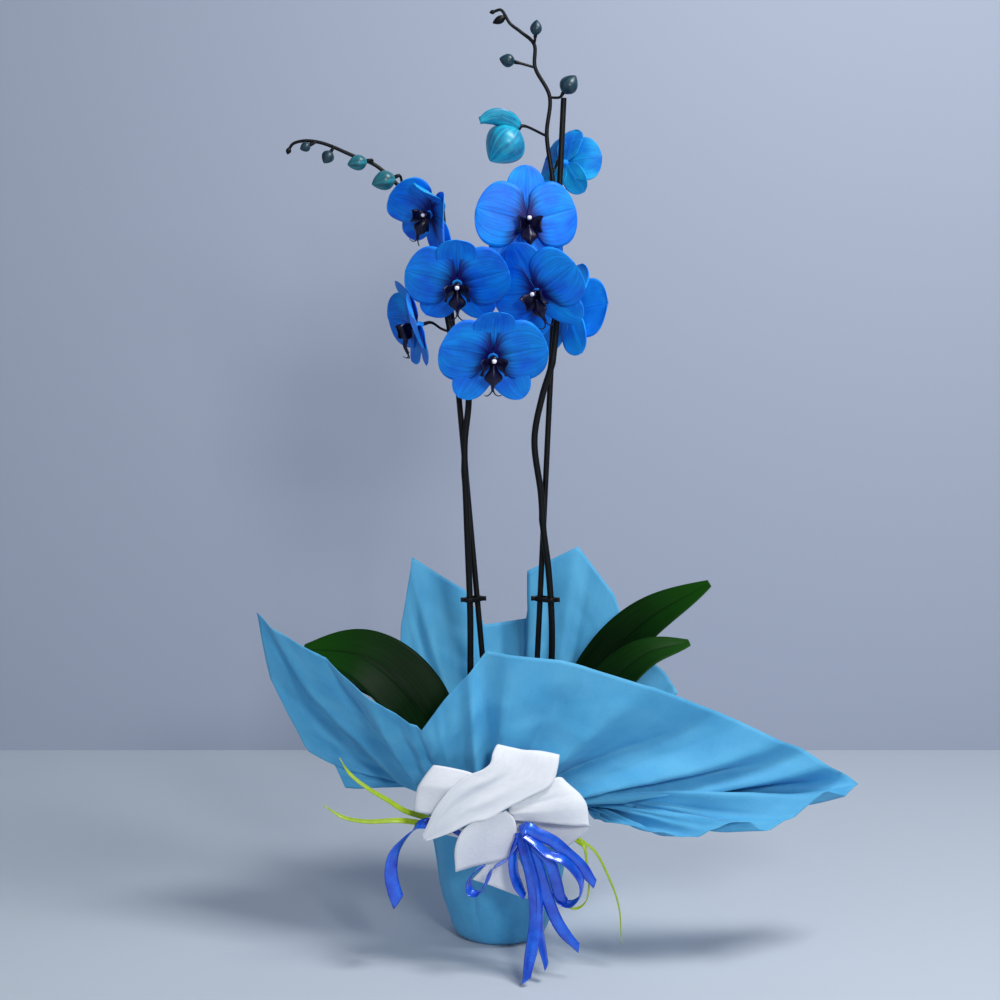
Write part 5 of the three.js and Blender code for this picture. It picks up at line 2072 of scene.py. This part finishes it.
@dataclass
class Trimmings:
    """Tie band, white bow, blue ribbons and the blades of grass tucked in behind the bow."""

    palette: Palette
    ribbon_width: float = 10.0
    left_width: float = 12.0
    grass_width: float = 6.0
    cloth: float = 0.5
    ribbon_wall: float = 0.35
    grass_wall: float = 0.6
    tie_radius: float = 65.0
    tie_heights: tuple[float, float] = (102.5, 111.5)
    strap_width: float = 20.0
    rows: int = 60

    def tie(self) -> bpy.types.Object:
        """The twisted band that gathers the wrap.

        Returns:
            The closed band.
        """

        def point(u: float, v: float) -> Vector:
            """The band at (up, round).

            Args:
                u: the share up.
                v: the share of a turn.

            Returns:
                The place in millimetres.
            """
            turn = 2 * math.pi * v
            ripple = 0.25 * math.sin(34 * turn) + 0.2 * math.sin(13 * turn + 4 * u)
            reach = self.tie_radius + ripple * (1 - abs(2 * u - 1)) - 0.4 * abs(2 * u - 1) ** 2
            return Vector((reach * math.cos(turn), reach * math.sin(turn), mix(*self.tie_heights, u)))

        piece = shaped_grid("tie_ribbon", point, 6, 200, ring=True)
        return thicken(piece, self.cloth)

    def cloth_piece(
        self, name: str, rails: Sequence[Sequence[Triple]], gathers: float, centre: float, rows: int
    ) -> bpy.types.Object:
        """A sheet of the bow with pleats where the knot gathers it and slack elsewhere.

        Args:
            name: the piece's name.
            rails: its edges and middle lines.
            gathers: how deep its pleats are, in millimetres.
            centre: the share of its length where it is gathered.
            rows: faces along it.

        Returns:
            The open surface.
        """

        def relief(u: float, v: float) -> float:
            """How far pleats and slack stand off the sheet.

            Args:
                u: the share along it.
                v: the share across it.

            Returns:
                The lift in millimetres.
            """
            gap = abs(u - centre)
            gap = min(gap, 1 - gap) if centre == 0 else gap
            pleats = gathers * math.exp(-gap / 0.11) * (abs(math.sin(2.5 * math.pi * v + 1.1)) - 0.6)
            fan = 1.4 * math.exp(-abs(v - 0.36 - 0.2 * gap) / 0.05) * math.exp(-gap / 0.4)
            slack = 1.2 * math.sin(5 * u + 4 * v + rows) * math.sin(math.pi * v)
            return pleats + fan + slack

        return shaped_grid(name, raised(lofted(rails), relief), rows, 20)

    def bow(self) -> bpy.types.Object:
        """Strap, sash, loops and tails in one.

        Returns:
            The closed bow.
        """
        sheets = [
            strip("bow_strap", Path(STRAP), [(1, 0, 0)], lambda u: self.strap_width, 10, 6),
            self.cloth_piece("bow_sash", SASH, 2.6, 0.4, 60),
            self.cloth_piece("bow_loop_left", LEFT_LOOP, 2.2, 0.0, 44),
            self.cloth_piece("bow_loop_right", RIGHT_LOOP, 2.4, 0.0, 44),
            self.cloth_piece("bow_tail_front", FRONT_TAIL, 2.0, 0.02, 24),
            self.cloth_piece("bow_tail_low", LOW_TAIL, 1.6, 0.02, 24),
        ]
        return thicken(joined("white_bow", sheets), self.cloth)

    def ribbon(
        self, name: str, band: Band, width: Callable[[float], float], cut: float
    ) -> bpy.types.Object:
        """One blue strand, slightly cupped, with a diagonal cut at its end.

        Args:
            name: the strand's name.
            band: its path and sides.
            width: its breadth in millimetres at a share of its length.
            cut: how much shorter one edge is, as a share of the length.

        Returns:
            The open surface.
        """

        def cup(u: float, v: float) -> float:
            """How far the strand's edges curl and it waves."""
            return 0.8 * (2 * v - 1) ** 2 + 0.5 * math.sin(11 * u)

        return strip(name, Path(band.path), band.sides, width, self.rows, 6, cup, cut)

    def bunch(self) -> bpy.types.Object:
        """The strands that hang from the bow.

        Returns:
            The closed bunch.
        """

        def width(u: float) -> float:
            """The breadth, narrower at the end."""
            return self.ribbon_width * (1 - 0.35 * ease(0.8, 1, u))

        strands = [self.ribbon(f"strand_{i}", band, width, 0.05) for i, band in enumerate(STRANDS)]
        return thicken(joined("ribbon_bunch", strands), self.ribbon_wall)

    def blade(self, name: str, band: Band) -> bpy.types.Object:
        """A keeled blade of grass that tapers to a point.

        Args:
            name: the blade's name.
            band: its path and sides.

        Returns:
            The open surface.
        """

        def width(u: float) -> float:
            """The breadth, nearly nothing at the tip."""
            return self.grass_width * (1 - 0.6 * u) * (1 - ease(0.86, 1, u) * 0.85)

        def keel(u: float, v: float) -> float:
            """How far the edges stand up from the keel."""
            return 0.9 * abs(2 * v - 1) * (1 - 0.6 * u)

        return strip(name, Path(band.path), band.sides, width, 56, 6, keel)

    def build(self) -> None:
        """Makes the trimmings and puts them in place."""
        tie = settle(paint(self.tie(), self.palette.bow), "bow", "tie_band")
        bow = settle(paint(self.bow(), self.palette.bow), "bow", "bow")
        bunch = settle(paint(self.bunch(), self.palette.ribbon), "ribbon", "blue_ribbons")
        length = sum(Path(band.path).length for band in STRANDS) * MM
        left = self.ribbon("ribbon_left", LEFT_STRAND, lambda u: self.left_width * min(1.0, 0.4 + u), 0.06)
        settle(paint(thicken(left, self.ribbon_wall), self.palette.ribbon), "ribbon", "blue_ribbon_left")
        length = Path(LEFT_STRAND.path).length * MM
        for name, bands in GRASS.items():
            blades = [self.blade(f"{name}_blade_{i}", band) for i, band in enumerate(bands)]
            spray = thicken(joined(name + "_spray", blades), self.grass_wall)
            settle(paint(spray, self.palette.grass), "grass", name)


# Studio


@dataclass(frozen=True)
class Lamp:
    """A square area light: its name, place, target, side, power and tint."""

    name: str
    place: Triple
    target: Triple
    size: float
    power: float
    tint: Triple

    def build(self) -> None:
        """Places the light and turns it to its target."""
        deselect()
        bpy.ops.object.light_add(type="AREA", location=self.place)
        lamp = bpy.context.object
        lamp.name = self.name
        lamp.data.size = self.size
        lamp.data.energy = self.power
        lamp.data.color = self.tint
        lamp.rotation_euler = (Vector(self.target) - Vector(self.place)).to_track_quat("-Z", "Y").to_euler()


LAMPS = (
    Lamp("key", (0.45, -1.6, 0.95), (0, 0, 0.35), 0.3, 11, (1, 0.98, 0.96)),
    Lamp("fill", (-1.2, -1.0, 0.8), (0, 0, 0.35), 1.2, 2.5, (0.95, 0.98, 1)),
    Lamp("top", (0.75, -0.5, 1.7), (0, 0, 0.2), 0.5, 22, (1, 1, 1)),
)


@dataclass
class Studio:
    """Floor, backdrop, soft lights and the camera at the photograph's angle, in metres and degrees."""

    wall_y: float = 0.626
    reach: float = 3.0
    drop: float = 0.0002
    floor_tone: Colour = linear(196, 205, 214)
    wall_tone: Colour = linear(172, 181, 198)
    sky_tone: Colour = linear(176, 186, 210)
    sky_strength: float = 0.36
    camera_place: Triple = (0, -1.5, 0.56)
    camera_tilt: float = 6.6
    lens: float = 62.8
    sensor: float = 36

    def flat(
        self, name: str, size: tuple[float, float], place: Triple, tilt: float, tone: Colour
    ) -> bpy.types.Object:
        """A plain rectangle for floor or backdrop.

        Args:
            name: the piece's name.
            size: its width and length.
            place: its middle.
            tilt: its turn about +X, in radians.
            tone: its colour.

        Returns:
            The rectangle.
        """
        deselect()
        bpy.ops.mesh.primitive_plane_add(size=1, location=place, rotation=(tilt, 0, 0))
        piece = bpy.context.object
        piece.name = name
        piece.scale = (*size, 1)
        bpy.ops.object.transform_apply(location=True, rotation=True, scale=True)
        box = Paintbox(name, Roughness=0.8, Specular_IOR_Level=0.2)
        clouds = box.effect(Effect.MOTTLE, Vector=box.coordinates(), Scale=3.0, Contrast=0.4)
        paint(piece, box.finish(box.blend(clouds, tone, (*(c * 0.94 for c in tone[:3]), 1.0))))
        return piece

    def see_through_behind(self, piece: bpy.types.Object) -> None:
        """Lets a view from behind the backdrop pass through it.

        Args:
            piece: the backdrop.
        """
        wiring = Wiring(piece.data.materials[0].node_tree)
        clear = wiring.node("ShaderNodeBsdfTransparent")
        pair = wiring.node("ShaderNodeMixShader")
        facing = wiring.node("ShaderNodeNewGeometry")
        front = wiring.nodes["Principled BSDF"]
        for index, output in enumerate((facing.outputs["Backfacing"], front.outputs[0], clear.outputs[0])):
            wiring.links.new(output, pair.inputs[index])
        wiring.links.new(pair.outputs[0], wiring.nodes["Material Output"].inputs["Surface"])

    def build(self) -> None:
        """Makes the stage, lights and camera."""
        self.flat("floor", (2 * self.reach, 2 * self.reach), (0, 0, -self.drop), 0, self.floor_tone)
        middle = (0, self.wall_y, self.reach / 2)
        wall = self.flat("backdrop", (2 * self.reach, self.reach), middle, math.pi / 2, self.wall_tone)
        self.see_through_behind(wall)
        for lamp in LAMPS:
            lamp.build()
        world = bpy.data.worlds.new("studio")
        bpy.context.scene.world = world
        world.use_nodes = True
        sky = world.node_tree.nodes["Background"]
        sky.inputs["Color"].default_value = self.sky_tone
        sky.inputs["Strength"].default_value = self.sky_strength
        bpy.context.scene.view_settings.view_transform = "Standard"
        turn = (math.radians(90 - self.camera_tilt), 0, 0)
        bpy.ops.object.camera_add(location=self.camera_place, rotation=turn)
        camera = bpy.context.object
        camera.data.lens = self.lens
        camera.data.sensor_width = self.sensor
        bpy.context.scene.camera = camera


def main() -> None:
    """Builds the whole picture."""
    logging.basicConfig(level=logging.INFO, format="%(name)s %(message)s")
    Studio().build()
    palette = Palette()
    for bloom in BLOOMS:
        Blossom(bloom, palette).build()
    Buds(palette).build()
    Stems(palette).build()
    Foliage(palette).build()
    Rootball(palette).build()
    Wrapping(palette).build()
    Trimmings(palette).build()


if __name__ == "__main__":
    main()
